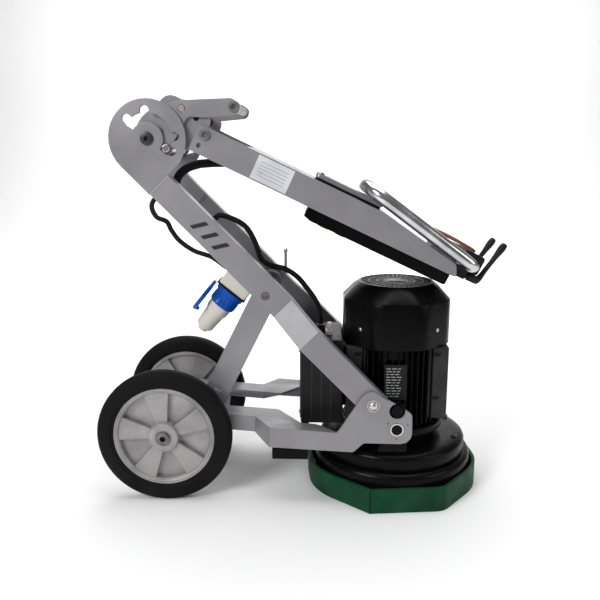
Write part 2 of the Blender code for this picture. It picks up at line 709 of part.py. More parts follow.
def motor():
    """Finned housing between the dish and the cowl, with a flange foot."""
    low, high = MOTOR_Z
    foot = DISH_Z[1] + GAP
    body = turned("motor", [(0.0, high), (MOTOR_R, high), (MOTOR_R, low + 0.004), (0.098, low + 0.004),
                            (0.098, low - 0.010), (0.086, low - 0.010), (0.086, foot), (0.0, foot)],
                  32, on_head(0, 0, 0), BLACK)
    loop = []
    count = 24
    for i in range(count):
        for offset, radius in ((-2.2, MOTOR_R - 0.004), (-1.9, FIN_R), (1.9, FIN_R), (2.2, MOTOR_R - 0.004)):
            angle = math.radians(i * 360 / count + offset)
            loop.append((HEAD_X + radius * math.cos(angle), radius * math.sin(angle)))
    fins = plan_plate("motor_fins", [loop], low + 0.010, high - 0.00002, smooth=False)
    boolean(body, fins, "UNION")
    for sign_x, sign_y in ((-1, -1), (-1, 1), (1, -1), (1, 1)):
        ends = sorted((HEAD_X + sign_x * PAD_X[0], HEAD_X + sign_x * PAD_X[1]))
        sides = sorted((sign_y * PAD_Y[0], sign_y * PAD_Y[1]))
        pad = box(f"motor_pad_{sign_x}_{sign_y}", (ends[0], sides[0], low + 0.016),
                  (ends[1], sides[1], high - 0.0015))
        boolean(body, pad, "UNION")
        hang(pad, head_tilt)
        for level in PAD_HOLES_Z:
            face = sign_y * PAD_Y[1]
            span = sorted((face - sign_y * 0.010, face + sign_y * 0.010))
            slot = box(f"pad_slot_{sign_x}_{sign_y}_{level}",
                       (HEAD_X + sign_x * 0.071 - 0.0055, span[0], level - 0.003),
                       (HEAD_X + sign_x * 0.071 + 0.0055, span[1], level + 0.003))
            boolean(body, slot)
            hang(slot, head_tilt)
    hang(body, head_tilt)
    hang(fins, head_tilt)


def cowl():
    """Fan cover: an octagon with soft corners, tapering to a round grille on top."""
    low, shoulder, top = COWL_Z
    flat = COWL_R
    corner = flat / math.cos(math.pi / 8) - 0.0035
    shell = bmesh.new()

    def ring(radius_flat, radius_corner, z):
        verts = []
        for i in range(16):
            angle = (i + 0.5) * math.pi / 8 - math.pi / 16
            radius = radius_flat if i % 2 == 0 else radius_corner
            verts.append(shell.verts.new((HEAD_X + radius * math.cos(angle), radius * math.sin(angle), z)))
        return verts

    wall = 0.0035
    under = shoulder - 0.012
    rings = [ring(flat - wall, corner - wall, low), ring(flat, corner, low), ring(flat, corner, shoulder),
             ring(COWL_TOP_R + 0.002, COWL_TOP_R + 0.002, top - 0.003),
             ring(COWL_TOP_R - 0.002, COWL_TOP_R - 0.002, top)]
    inner = ring(flat - wall, corner - wall, under)
    for one, two in zip(rings, rings[1:]):
        for a, b, c, d in zip(one, one[1:] + one[:1], two[1:] + two[:1], two):
            shell.faces.new((a, b, c, d))
    for a, b, c, d in zip(inner, inner[1:] + inner[:1], rings[0][1:] + rings[0][:1], rings[0]):
        shell.faces.new((a, b, c, d))
    shell.faces.new(rings[-1])
    shell.faces.new(inner[::-1])
    bmesh.ops.recalc_face_normals(shell, faces=shell.faces)
    mesh = bpy.data.meshes.new("cowl")
    shell.to_mesh(mesh)
    shell.free()
    cover = keep("cowl", mesh, BLACK)
    slot_half = COWL_TOP_R - 0.010
    for i in range(-4, 5):
        x = HEAD_X + i * 0.0135
        reach = math.sqrt(max(slot_half ** 2 - (i * 0.0135) ** 2, 0.0))
        cut = box(f"grille_slot_{i + 4}", (x - 0.0026, -reach, top - 0.006), (x + 0.0026, reach, top + 0.01))
        boolean(cover, cut)
        hang(cut, head_tilt)
    hang(cover, head_tilt)


motor()
cowl()
case = box("terminal_case", (CASE_X[0], -CASE_Y, CASE_Z[0]), (CASE_X[1], CASE_Y, CASE_Z[1]), PLASTIC)
soften(case, 0.004)
hang(case, head_tilt)
gland = turned("cable_gland", [(0.0055, 0.016), (0.0085, 0.016), (0.0085, 0.006), (0.0115, 0.006),
                               (0.0115, 0.0), (0.0055, 0.0)], 16,
               Matrix.Translation((0.040, -0.010, CASE_Z[1] - 0.001)))
boolean(case, gland, "UNION")
hang(gland, head_tilt)
neck = box("case_neck", (CASE_X[1] - 0.006, -0.022, 0.150), (HEAD_X - FIN_R - GAP, 0.022, 0.270))
boolean(case, neck, "UNION")
hang(neck, head_tilt)


def head_ear(side_name, side):
    """Bearing ear on the dish with its trunnion pin and the rubber stop above it."""
    inner, outer = 0.1195, 0.1275
    base = DISH_Z[1] + GAP
    x, z = TRUNNION
    stop = (x, z + STOP_RISE)
    outline = [(x - 0.034, base), (x + 0.020, base), (x + 0.021, z + 0.004), (x + 0.013, stop[1] + 0.011),
               (x - 0.010, stop[1] + 0.011), (x - 0.018, z + 0.012), (x - 0.020, z - 0.010)]
    ear = side_plate(f"head_ear_{side_name}", [rounded(outline, [0, 0, 0.01, 0.007, 0.007, 0.01, 0.01], 3)],
                     inner, outer, side, BLACK)
    pin = rod(f"trunnion_pin_{side_name}", (x, side * (outer - 0.002), z), (x, side * (ARM_Y_OUT + 0.0012), z),
              TRUNNION_R)
    boolean(ear, pin, "UNION")
    rubber = rod(f"stop_{side_name}", (stop[0], side * (outer - 0.002), stop[1]),
                 (stop[0], side * (ARM_Y_OUT + 0.0005), stop[1]), STOP_R)
    boolean(ear, rubber, "UNION")
    for piece in (ear, pin, rubber):
        hang(piece, head_tilt)


for ear_side in SIDES:
    head_ear(*ear_side)

# ---------------------------------------------------------------- rotor and skirt
disc = turned("grinding_disc", [(0.0, PAN_Z[1] - pan_wall - 0.001), (0.030, PAN_Z[1] - pan_wall - 0.001),
                                (0.032, 0.026), (0.134, 0.024), (0.136, 0.012), (0.0, 0.012)],
              32, on_head(0, 0, 0), DARK_STEEL)
for i in range(3):
    middle = i * 120
    loop = arc((HEAD_X, 0), 0.126, middle - 24, middle + 24, 8) + arc((HEAD_X, 0), 0.086, middle + 24, middle - 24, 6)
    shoe = plan_plate(f"grinding_shoe_{i + 1}", [loop], 0.0, 0.0125)
    boolean(disc, shoe, "UNION")
    hang(shoe, spin)
hang(disc, spin)

def skirt_loop(flat, inset):
    """Octagon across its flats, with each corner bent to its radius less the inset."""
    corners = circle((0, 0), flat / math.cos(math.pi / 8), 8, math.pi / 8)
    return rounded(corners, [max(radius - inset, 0.0) for radius in SKIRT_BENDS * 2], 7)


skirt_mesh = slab([skirt_loop(SKIRT_FLAT, 0.0), skirt_loop(SKIRT_FLAT - SKIRT_WALL, SKIRT_WALL)], SKIRT_H)
skirt = keep("skirt", skirt_mesh, GREEN)
skirt.matrix_world = (on_head(SKIRT_SHIFT, 0, SKIRT_H / 2)
                      @ Matrix.Rotation(math.radians(SKIRT_TURN_DEG), 4, "Z"))
hang(skirt, float_z)

# ---------------------------------------------------------------- folding handle
handle_fold = empty("handle_fold", PIVOT[0], 0, PIVOT[1], HANDLE_DEG)
handle_frame = handle_fold.matrix_world.copy()


def on_handle(thing, holder=None):
    """Place a piece drawn in handle coordinates and hang it on its joint."""
    thing.matrix_world = handle_frame @ thing.matrix_world
    return hang(thing, holder or handle_fold)


def handle_uv(x, z):
    place = handle_frame.inverted() @ Vector((x, 0, z))
    return place.x, place.z


bolt_uv = (0.0875, 0.0485)
hole_uv = (0.0845, 0.0275)
bush_uv = handle_uv(*BUSH_AT)
roller_uv = handle_uv(-0.178, 0.694)
pin_world = (PIVOT[0] + PIN_AT_R * math.cos(math.radians(PIN_DEG)),
             PIVOT[1] + PIN_AT_R * math.sin(math.radians(PIN_DEG)))
pin_uv = handle_uv(*pin_world)
pin_travel = LOBE_R - PIN_AT_R


def taper_top(u):
    if u <= HANDLE_TAPER:
        return HANDLE_TOP
    return HANDLE_TOP - (HANDLE_TOP - HANDLE_TIP_TOP) * (u - HANDLE_TAPER) / (0.586 - HANDLE_TAPER)


for side_name, side in SIDES:
    hinge = [(-0.0377, -0.027), (0.022, -0.027), (0.076, 0.0175), (0.150, 0.0175), (0.150, 0.0575),
             (0.0865, 0.0575), (0.0865, 0.082), (0.050, 0.082), (0.040, 0.086), (-0.0005, 0.086)]
    slot = arc((pin_uv[0] + pin_travel + 0.001, pin_uv[1] - 0.0005), PIN_R + 0.0012, -90, 90, 8)
    slot += arc(pin_uv, PIN_R + 0.0012, 90, 270, 8)
    plate = side_plate(f"hinge_plate_{side_name}",
                       [rounded(hinge, [0.026, 0.02, 0.004, 0.003, 0.003, 0.002, 0.014, 0.006, 0.006, 0.02]),
                        circle((0, 0), PIVOT_R + FIT, 16), circle(bush_uv, 0.0060 + GAP, 16),
                        circle(roller_uv, 0.0050 + GAP, 12), circle(bolt_uv, 0.0050 + GAP, 12), slot],
                       HINGE_IN, HINGE_IN + HINGE_T, side, SILVER)
    on_handle(plate)
    cheek = [(HANDLE_START, HANDLE_LOW), (HANDLE_END, HANDLE_LOW), (0.586, HANDLE_TIP_TOP),
             (HANDLE_TAPER, HANDLE_TOP), (HANDLE_START, HANDLE_TOP)]
    cheek_plate = side_plate(f"cheek_{side_name}",
                             [rounded(cheek, [0.002, 0.004, 0.002, 0.03, 0.004], 3),
                              circle(bolt_uv, 0.0050 + GAP, 12), circle(hole_uv, 0.0042, 12)],
                             HANDLE_Y - CHEEK_T, HANDLE_Y, side, SILVER)
    on_handle(cheek_plate)

wall = COVER_T
cover_y = HANDLE_Y - CHEEK_T - GAP
cover_loop = [(0.160, HANDLE_TOP), (HANDLE_TAPER, HANDLE_TOP), (0.586, HANDLE_TIP_TOP),
              (HANDLE_END, HANDLE_LOW + 0.0005), (0.160, HANDLE_LOW + 0.0005), (0.160, HANDLE_LOW + wall),
              (HANDLE_END - wall - 0.001, HANDLE_LOW + wall), (0.584, HANDLE_TIP_TOP - wall),
              (HANDLE_TAPER, HANDLE_TOP - wall), (0.160, HANDLE_TOP - wall)]
on_handle(side_plate("handle_cover", [cover_loop[::-1]], -cover_y, cover_y, 1, SILVER))

bolt_profile = [(0.0, HANDLE_Y + 0.0035), (0.0080, HANDLE_Y + 0.0035), (0.0095, HANDLE_Y + 0.002),
                (0.0095, HANDLE_Y + GAP), (0.0050, HANDLE_Y + GAP)]
bolt_profile += [(r, -z) for r, z in reversed(bolt_profile)]
handle_bolt = turned("handle_bolt", bolt_profile, 12,
                     Matrix.Translation((bolt_uv[0], 0, bolt_uv[1])) @ Matrix.Rotation(-math.pi / 2, 4, "X"),
                     DARK_STEEL)
on_handle(handle_bolt)
hinge_out = HINGE_IN + HINGE_T
roller = [(0.0, hinge_out), (0.0050, hinge_out), (0.0050, HINGE_IN - GAP), (0.0072, HINGE_IN - GAP)]
roller += [(r, -z) for r, z in reversed(roller)]
on_handle(turned("cross_roller", roller, 14,
                 Matrix.Translation((roller_uv[0], 0, roller_uv[1])) @ Matrix.Rotation(-math.pi / 2, 4, "X"),
                 RUBBER))
drive = [(DRIVE_U[0], HANDLE_LOW - GAP), (DRIVE_U[0], DRIVE_LOW + 0.004), (DRIVE_U[0] + 0.014, DRIVE_LOW),
         (DRIVE_U[1], DRIVE_LOW), (DRIVE_U[1], HANDLE_LOW - GAP)]
drive_box = side_plate("drive_box", [rounded(drive, [0, 0.002, 0.004, 0.004, 0], 2)], -DRIVE_Y, DRIVE_Y, 1, BLACK,
                       smooth=False)
on_handle(drive_box)

gasket_z = HANDLE_TOP + GAP
panel_y = 0.050
gasket = rounded([(PANEL_U[0] + 0.002, -panel_y + 0.002), (PANEL_U[1] - 0.002, -panel_y + 0.002),
                  (PANEL_U[1] - 0.002, panel_y - 0.002), (PANEL_U[0] + 0.002, panel_y - 0.002)], 0.006, 3)
on_handle(plan_plate("panel_gasket", [gasket], gasket_z, gasket_z + GASKET_T, RUBBER))
panel = rounded([(PANEL_U[0], -panel_y), (PANEL_U[1], -panel_y), (PANEL_U[1], panel_y),
                 (PANEL_U[0], panel_y)], 0.008, 3)
panel_low = gasket_z + GASKET_T + GAP
on_handle(plan_plate("panel", [panel], panel_low, panel_low + PANEL_T, SILVER))

switch_y = 0.028
tube_u, tube_v = BAR_TUBE
switch = [(0.540, taper_top(0.540) + 0.0005), (0.586, HANDLE_TIP_TOP + 0.0008), (0.597, HANDLE_TIP_TOP - 0.004),
          (0.5995, 0.0565), (tube_u, 0.0575), (tube_u, 0.0655), (0.545, 0.0655), (0.540, 0.061)]
on_handle(side_plate("switch_box", [switch], -switch_y, switch_y, 1, SILVER, smooth=False))

for side_name, side in SIDES:
    block = [(0.5985, 0.0140), (0.6180, 0.0140), (0.6180, 0.0300), (0.6360, 0.0300), (0.6360, 0.0655),
             (0.6030, 0.0655), (0.6010, 0.0340), (0.5985, 0.0335)]
    low_y, high_y = CLAMP_Y - CLAMP_W / 2, CLAMP_Y + CLAMP_W / 2
    clamp = side_plate(f"clamp_{side_name}", [rounded(block, [0.003, 0.003, 0, 0.004, 0.005, 0.004, 0, 0], 3)],
                       low_y, high_y, side, PLASTIC)
    bore = side_plate(f"clamp_bore_{side_name}", [circle(BAR_TUBE, BAR_R + GAP, 24)],
                      low_y - 0.01, high_y + 0.01, side)
    boolean(clamp, bore)
    on_handle(bore)
    on_handle(clamp)
    # indexing lever on a screw along the handle
    hub_y = side * CLAMP_Y
    swing = empty(f"clamp_swing_{side_name}", *[0, 0, 0])
    swing.matrix_world = handle_frame @ Matrix.Translation((0.6183, hub_y, GRIP_HUB_V))
    lever = rod(f"clamp_lever_{side_name}", (0.6183, hub_y, GRIP_HUB_V), (0.6455, hub_y, GRIP_HUB_V), 0.0075,
                PLASTIC, 14)
    tip_u = 0.6570
    arm = rod(f"clamp_arm_{side_name}", (0.6420, hub_y, GRIP_HUB_V), (tip_u, hub_y, GRIP_HUB_V + 0.080), 0.0055,
              sides=12)
    knob = rod(f"clamp_tip_{side_name}", (0.6535, hub_y, GRIP_HUB_V + 0.062), (0.6582, hub_y, GRIP_HUB_V + 0.0855),
               0.0070, sides=12)
    boolean(lever, arm, "UNION")
    boolean(lever, knob, "UNION")
    for piece in (lever, arm, knob):
        on_handle(piece, swing)

# handlebar: a closed loop whose far run turns in the clamps
bar_swing = empty("handlebar_swing", 0, 0, 0)
bar_swing.matrix_world = handle_frame @ Matrix.Translation((tube_u, 0, tube_v))
top_u, top_v = BAR_TOP
run = Vector((top_u - tube_u, top_v - tube_v))
loop = rounded([(0, -BAR_HALF), (run.length, -BAR_HALF), (run.length, BAR_HALF), (0, BAR_HALF)],
               [0.016, 0.044, 0.044, 0.016], 5)
route = [(tube_u + run.x * a / run.length, y, tube_v + run.y * a / run.length) for a, y in loop]
on_handle(tube("handlebar", route, BAR_R, CHROME, cyclic=True, sides=4), bar_swing)

# brown rest on the switch box, hinged at its lower end
rest_swing = empty("paddle_swing", 0, 0, 0)
rest_swing.matrix_world = handle_frame @ Matrix.Translation((0.614, 0, 0.0685))
rest = [(0.535, 0.0695), (0.606, 0.0670), (0.613, 0.0662), (0.619, 0.0662), (0.619, 0.0715), (0.612, 0.0722),
        (0.535, 0.0745)]
on_handle(side_plate("paddle", [rest], -0.030, 0.030, 1, BROWN, smooth=False), rest_swing)

# low buttons on the drive box's face, which turns upward when the handle is raised
for label, u, look in (("start_button", 0.345, LIME), ("stop_button", 0.380, RED)):
    holder = empty(f"{label}_slide", 0, 0, 0)
    holder.matrix_world = handle_frame @ Matrix.Translation((u, 0, DRIVE_LOW))
    cap_piece = rod(label, (u, 0, DRIVE_LOW - 0.0060), (u, 0, DRIVE_LOW + 0.0040), 0.0110, look, 20)
    on_handle(cap_piece, holder)
    well = rod(f"{label}_well", (u, 0, DRIVE_LOW - 0.0100), (u, 0, DRIVE_LOW + 0.0090), 0.0110 + FIT, sides=20)
    on_handle(well)
    boolean(drive_box, well)

# ---------------------------------------------------------------- release lever
release = empty("release_swing", BUSH_AT[0], 0, BUSH_AT[1])
for side_name, side in SIDES:
    bx, bz = BUSH_AT
    ex, ez = LEVER_END
    px, pz = pin_world
    outline = [(bx - 0.030, bz + 0.006), (bx + 0.001, bz + 0.0155), (bx + 0.010, bz + 0.0145),
               (ex - 0.004, ez + 0.0150), (ex + 0.010, ez + 0.006), (ex + 0.010, ez - 0.012),
               (bx + 0.040, bz - 0.0150), (bx + 0.010, bz - 0.0135), (px + 0.0105, pz + 0.006),
               (px + 0.0105, pz - 0.0105), (px - 0.0105, pz - 0.0105), (px - 0.0105, pz + 0.010),
               (bx - 0.026, bz - 0.020)]
    radii = [0.004, 0.010, 0.004, 0.012, 0.008, 0.012, 0.006, 0.008, 0.004, 0.009, 0.009, 0.004, 0.008]
    lever = side_plate(f"release_lever_{side_name}",
                       [rounded(outline, radii, 3), circle(BUSH_AT, 0.0060 + FIT, 16),
                        circle(LEVER_END, 0.0050 + GAP, 12), circle(pin_world, PIN_R + GAP, 16)],
                       hinge_out + GAP, hinge_out + GAP + LEVER_T, side, SILVER)
    hang(lever, release)
lever_out = hinge_out + GAP + LEVER_T
on_pin = [(0.0, lever_out + 0.0002), (0.0060, lever_out + 0.0002), (0.0060, HINGE_IN - GAP), (0.0088, HINGE_IN - GAP)]
on_pin += [(r, -z) for r, z in reversed(on_pin)]
hang(turned("lever_pin", on_pin, 14, facing_y(*BUSH_AT), BRONZE), handle_fold)
grip = [(0.0, lever_out + 0.0035), (0.0078, lever_out + 0.0035), (0.0092, lever_out + 0.002),
        (0.0092, lever_out + GAP), (0.0050, lever_out + GAP), (0.0050, hinge_out), (0.0090, hinge_out)]
grip += [(r, -z) for r, z in reversed(grip)]
hang(turned("release_grip", grip, 12, facing_y(*LEVER_END), DARK_STEEL), release)
bolt_end = QUAD_Y + 0.0015
lock = [(0.0, bolt_end), (PIN_R - 0.001, bolt_end), (PIN_R, bolt_end - 0.001)]
lock += [(r, -z) for r, z in reversed(lock)]
hang(turned("lock_pin", lock, 14, facing_y(*pin_world), STEEL), release)

# ---------------------------------------------------------------- mains inlet, lid and plug
aim = Matrix.Rotation(math.radians(90 - PLUG_DEG), 4, "Y")
inlet_frame = Matrix.Translation((PLUG_AT[0], PLUG_Y, PLUG_AT[1])) @ aim


def on_inlet(thing, holder=None):
    thing.matrix_world = inlet_frame @ thing.matrix_world
    return hang(thing, holder) if holder else thing


inlet_box = box("inlet_box", (-0.029, -0.024, -0.030), (0.031, 0.024, 0.0085), IVORY)
soften(inlet_box, 0.004)
on_inlet(inlet_box)
gasket_top = 0.0088
on_inlet(box("inlet_gasket", (-0.031, -0.025, gasket_top), (0.033, 0.025, gasket_top + 0.0022), RUBBER))
collar_z = gasket_top + 0.0022 + GAP
collar_len = 0.034
plug_bore = 0.0175
collar = turned("inlet_collar", [(plug_bore + 0.001, collar_z + collar_len), (0.0255, collar_z + collar_len),
                                 (0.0255, collar_z + 0.012), (0.0290, collar_z + 0.008), (0.0290, collar_z),
                                 (plug_bore + 0.001, collar_z)],
                22, Matrix.Identity(4), BLUE)
on_inlet(collar)
plug_slide = empty("plug_slide", 0, 0, 0)
plug_slide.matrix_world = inlet_frame.copy()
plug_start = collar_z + 0.004
plug_end = collar_z + collar_len + 0.058
plug = turned("plug", [(0.0, plug_end + 0.006), (0.0090, plug_end + 0.005), (0.0110, plug_end),
                       (0.0165, plug_end - 0.004), (0.0200, plug_end - 0.020),
                       (0.0225, collar_z + collar_len + 0.006), (0.0225, collar_z + collar_len + 0.0008),
                       (plug_bore, collar_z + collar_len + 0.0008), (plug_bore, plug_start),
                       (0.0, plug_start)], 20, Matrix.Identity(4), IVORY)
on_inlet(plug, plug_slide)

lid_u = 0.0360
lid_swing = empty("lid_swing", 0, 0, 0)
lid_swing.matrix_world = inlet_frame @ Matrix.Translation((lid_u, 0, collar_z + 0.012))
lid = rod("inlet_lid", (lid_u - 0.0035, 0, collar_z + 0.046), (lid_u + 0.0045, 0, collar_z + 0.046), 0.0280, BLUE, 22)
lid_arm = box("lid_arm", (lid_u - 0.003, -0.010, collar_z + 0.006), (lid_u + 0.004, 0.010, collar_z + 0.030))
boolean(lid, lid_arm, "UNION")
catch = box("lid_catch", (lid_u - 0.008, -0.004, collar_z + 0.066), (lid_u - 0.002, 0.004, collar_z + 0.072))
boolean(lid, catch, "UNION")
for piece in (lid, lid_arm, catch):
    on_inlet(piece, lid_swing)

# ---------------------------------------------------------------- cables and peg
loop_points = [(-0.258, 0.030, 0.570), (-0.272, -0.030, 0.545), (-0.262, -0.048, 0.522),
               (-0.243, -0.046, 0.512), (-0.236, -0.040, 0.495), (-0.222, -0.036, 0.475),
               (-0.196, -0.032, 0.456), (-0.165, -0.028, 0.444), (-0.140, -0.020, 0.4235)]
tube("inlet_cable", smooth_route(loop_points, 0.015), CABLE_R, RUBBER, sides=2)
riser_points = [(-0.236, 0.0, 0.560), (-0.229, 0.0, 0.590), (-0.211, 0.0, 0.607), (-0.186, 0.0, 0.6155)]
tube("harness_low", smooth_route(riser_points, 0.018), HARNESS_R, RUBBER, sides=3)
harness_points = [(-0.1830, 0.0, 0.6158), (-0.160, 0.0, 0.6170), (-0.135, 0.0, 0.6175), (-0.112, 0.0, 0.6200)]
harness = tube("harness_high", smooth_route(harness_points, 0.018), HARNESS_R, RUBBER, sides=3)
hang(harness, handle_fold)
drop_points = [(-0.165, -0.030, 0.500), (-0.150, -0.034, 0.522), (-0.125, -0.034, 0.517),
               (-0.100, -0.032, 0.502), (-0.084, -0.026, 0.474), (-0.073, -0.018, 0.440),
               (-0.055, -0.010, 0.426), (-0.029, -0.009, 0.4195), (-0.005, -0.009, 0.404),
               (0.0146, -0.010, 0.381), (0.029, -0.010, 0.3605), (0.037, -0.010, 0.341),
               (0.040, -0.010, CASE_Z[1] + 0.030), (0.040, -0.010, CASE_Z[1] + 0.0165)]
tube("motor_cable", smooth_route(drop_points, 0.016), 0.0052, RUBBER, sides=2)

# ---------------------------------------------------------------- origin under the middle of the machine
bpy.context.view_layer.update()
graph = bpy.context.evaluated_depsgraph_get()
reach = []
for piece in parts.objects:
    solid = piece.evaluated_get(graph)
    reach += [(solid.matrix_world @ vertex.co).x for vertex in solid.to_mesh().vertices]
    solid.to_mesh_clear()
centring = Matrix.Translation((-(min(reach) + max(reach)) / 2, 0, 0))
for item in [thing for thing in bpy.data.objects if thing.parent is None]:
    item.matrix_world = centring @ item.matrix_world
bpy.context.view_layer.update()
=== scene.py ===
# %% [markdown]
# # A folding floor grinder
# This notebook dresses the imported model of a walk-behind floor grinder.
# The load-bearing frame is already exact, so the work here is on what the eye reads:
# smooth turned parts, softened plate edges, cables, screws, stickers and finishes.

# %% Load the frame
import math
import json

import bmesh
import bpy
from mathutils import Matrix, Vector


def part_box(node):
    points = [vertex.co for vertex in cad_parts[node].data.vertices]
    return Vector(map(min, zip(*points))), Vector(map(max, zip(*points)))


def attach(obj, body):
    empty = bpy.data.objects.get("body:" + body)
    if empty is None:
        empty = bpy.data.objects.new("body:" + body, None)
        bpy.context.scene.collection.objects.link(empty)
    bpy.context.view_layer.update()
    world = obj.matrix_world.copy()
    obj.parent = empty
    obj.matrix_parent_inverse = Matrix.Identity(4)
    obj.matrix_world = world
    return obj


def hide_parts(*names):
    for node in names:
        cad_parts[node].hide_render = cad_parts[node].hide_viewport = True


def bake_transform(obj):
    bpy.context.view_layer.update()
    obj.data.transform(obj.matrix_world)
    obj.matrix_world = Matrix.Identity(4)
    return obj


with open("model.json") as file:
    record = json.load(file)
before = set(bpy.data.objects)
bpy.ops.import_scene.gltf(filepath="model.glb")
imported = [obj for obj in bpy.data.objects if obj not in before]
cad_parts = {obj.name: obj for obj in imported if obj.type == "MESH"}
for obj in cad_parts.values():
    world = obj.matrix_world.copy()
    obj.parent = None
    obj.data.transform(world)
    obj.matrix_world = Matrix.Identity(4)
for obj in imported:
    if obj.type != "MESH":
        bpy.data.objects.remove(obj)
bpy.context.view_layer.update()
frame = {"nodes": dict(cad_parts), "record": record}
RECORD = frame["record"]
BODY_OF = {node: body for body, nodes in RECORD["behaviour"]["bodies"].items() for node in nodes}
SLOT_OF = {row["node"]: row["material_slot"] for row in RECORD["subparts"]}
JOINT = {row["name"]: row for row in RECORD["behaviour"]["joints"]}
SIDES = (("near", -1), ("far", 1))


def middle(node):
    low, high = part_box(node)
    return (low + high) / 2


HEAD = Vector((middle("pan").x, 0, 0))

# %% [markdown]
# ## Floor
# A pale floor that curves up behind the machine gives a background with no horizon line. It
# could be a plane and a wall, but their corner would show, so one section is swept instead.

# %% Floor and backdrop
BACK = 3.2
sweep = bmesh.new()
section = [Vector((-6, -4, 0)), Vector((-6, BACK, 0))]
section += [Vector((-6, BACK + 1.5 * math.sin(a), 1.5 - 1.5 * math.cos(a))) for a in
            [math.radians(6 * i) for i in range(1, 16)]]
section.append(Vector((-6, BACK + 1.5, 7)))
row = [sweep.verts.new(point) for point in section]
strip = [sweep.edges.new(pair) for pair in zip(row, row[1:])]
wide = bmesh.ops.extrude_edge_only(sweep, edges=strip)
bmesh.ops.translate(sweep, vec=(12, 0, 0), verts=[v for v in wide["geom"] if isinstance(v,
                                                                                        bmesh.types.BMVert)])
bmesh.ops.recalc_face_normals(sweep, faces=sweep.faces)
floor_mesh = bpy.data.meshes.new("floor")
sweep.to_mesh(floor_mesh)
sweep.free()
floor_mesh.shade_smooth()
floor = bpy.data.objects.new("floor", floor_mesh)
bpy.context.scene.collection.objects.link(floor)
paper = bpy.data.materials.new("pale_paper")
paper.use_nodes = True
paper.node_tree.nodes["Principled BSDF"].inputs["Base Color"].default_value = (0.9, 0.9, 0.9, 1)
paper.node_tree.nodes["Principled BSDF"].inputs["Roughness"].default_value = 0.9
floor_mesh.materials.append(paper)
print("floor sweep of", len(floor_mesh.polygons), "faces")


# %% [markdown]
# ## Lights
# Satin paint and black castings need broad soft lights. A key from the left of the near side
# models the plates, a weak fill opens the right side, one light from above draws the bevels,
# and one behind lifts the backdrop.


# %% Soft lights
def soft_light(name, at, aim, power, width):
    lamp = bpy.data.lights.new(name, "AREA")
    lamp.energy = power
    lamp.size = width
    holder = bpy.data.objects.new(name, lamp)
    holder.location = at
    holder.rotation_euler = (Vector(aim) - Vector(at)).to_track_quat("-Z", "Y").to_euler()
    bpy.context.scene.collection.objects.link(holder)
    return holder


soft_light("key", (-1.7, -2.1, 1.9), (0, 0, 0.25), 52, 1.1)
soft_light("fill", (2.6, -1.2, 1.4), (0, 0, 0.3), 14, 1.5)
soft_light("top", (0.1, 0.5, 3.0), (0, 0, 0.0), 78, 2.6)
soft_light("back", (0.0, 2.2, 2.6), (0, 4.2, 1.0), 120, 2.6)
sky = bpy.data.worlds.new("studio")
sky.use_nodes = True
sky.node_tree.nodes["Background"].inputs["Color"].default_value = (1, 1, 1, 1)
sky.node_tree.nodes["Background"].inputs["Strength"].default_value = 0.20
bpy.context.scene.world = sky
bpy.context.scene.view_settings.view_transform = "Standard"
print("four soft lights and a dim white room")

# %% [markdown]
# ## Camera
# The machine is seen almost square-on and from a little above. A lens of moderate length from
# about a metre off keeps the near wheel a touch larger than the far one, as the eye sees it.

# %% Camera
AIM = Vector((-0.0061, 0, 0.3565))
AZIMUTH = math.radians(1.57)
RISE = math.radians(12.33)
REACH = 1.29
away = Vector((math.sin(AZIMUTH) * math.cos(RISE), -math.cos(AZIMUTH) * math.cos(RISE), math.sin(RISE)))
lens = bpy.data.cameras.new("camera")
lens.lens = 39.9
lens.sensor_width = 36
camera = bpy.data.objects.new("camera", lens)
camera.location = AIM + away * REACH
camera.rotation_euler = (-away).to_track_quat("-Z", "Y").to_euler()
bpy.context.scene.collection.objects.link(camera)
bpy.context.scene.camera = camera
print("camera stands at", tuple(round(v, 3) for v in camera.location))

# %% [markdown]
# ## Finishes
# Real surfaces are never one flat value. Each finish below mixes a slow change of tone,
# a fine grain in the bump, a roughness that wanders, a few fine scratches, and dust that
# thins out with height, because a grinder lives in concrete dust.
# One recipe with different numbers keeps the whole machine in one family.

# %% The recipe for a finish
COATS = {}
DUST = (0.36, 0.34, 0.31)


def wire(tree, source, target):
    tree.links.new(source, target)


def noise(tree, where, size, detail, stretch=None, turn=(0, 0, 0)):
    """A noise pattern in object coordinates, stretched when a mapping is given."""
    node = tree.nodes.new("ShaderNodeTexNoise")
    node.inputs["Scale"].default_value = size
    node.inputs["Detail"].default_value = detail
    if stretch:
        spread = tree.nodes.new("ShaderNodeMapping")
        spread.inputs["Scale"].default_value = stretch
        spread.inputs["Rotation"].default_value = turn
        wire(tree, where, spread.inputs["Vector"])
        where = spread.outputs["Vector"]
    wire(tree, where, node.inputs["Vector"])
    return node.outputs["Fac"]


def ranged(tree, value, low, high, out_low, out_high):
    node = tree.nodes.new("ShaderNodeMapRange")
    node.inputs["From Min"].default_value = low
    node.inputs["From Max"].default_value = high
    node.inputs["To Min"].default_value = out_low
    node.inputs["To Max"].default_value = out_high
    wire(tree, value, node.inputs["Value"])
    return node.outputs["Result"]


def mixed(tree, amount, one, two):
    """Blend two colours, each a tuple or a socket, by an amount socket."""
    node = tree.nodes.new("ShaderNodeMix")
    node.data_type = "RGBA"
    wire(tree, amount, node.inputs["Factor"])
    for socket, value in ((node.inputs[6], one), (node.inputs[7], two)):
        if isinstance(value, tuple):
            socket.default_value = (*value, 1)
        else:
            wire(tree, value, socket)
    return node.outputs[2]


def times(tree, one, two, how="MULTIPLY"):
    node = tree.nodes.new("ShaderNodeMath")
    node.operation = how
    for socket, value in zip(node.inputs, (one, two)):
        if isinstance(value, (int, float)):
            socket.default_value = value
        else:
            wire(tree, value, socket)
    return node.outputs["Value"]


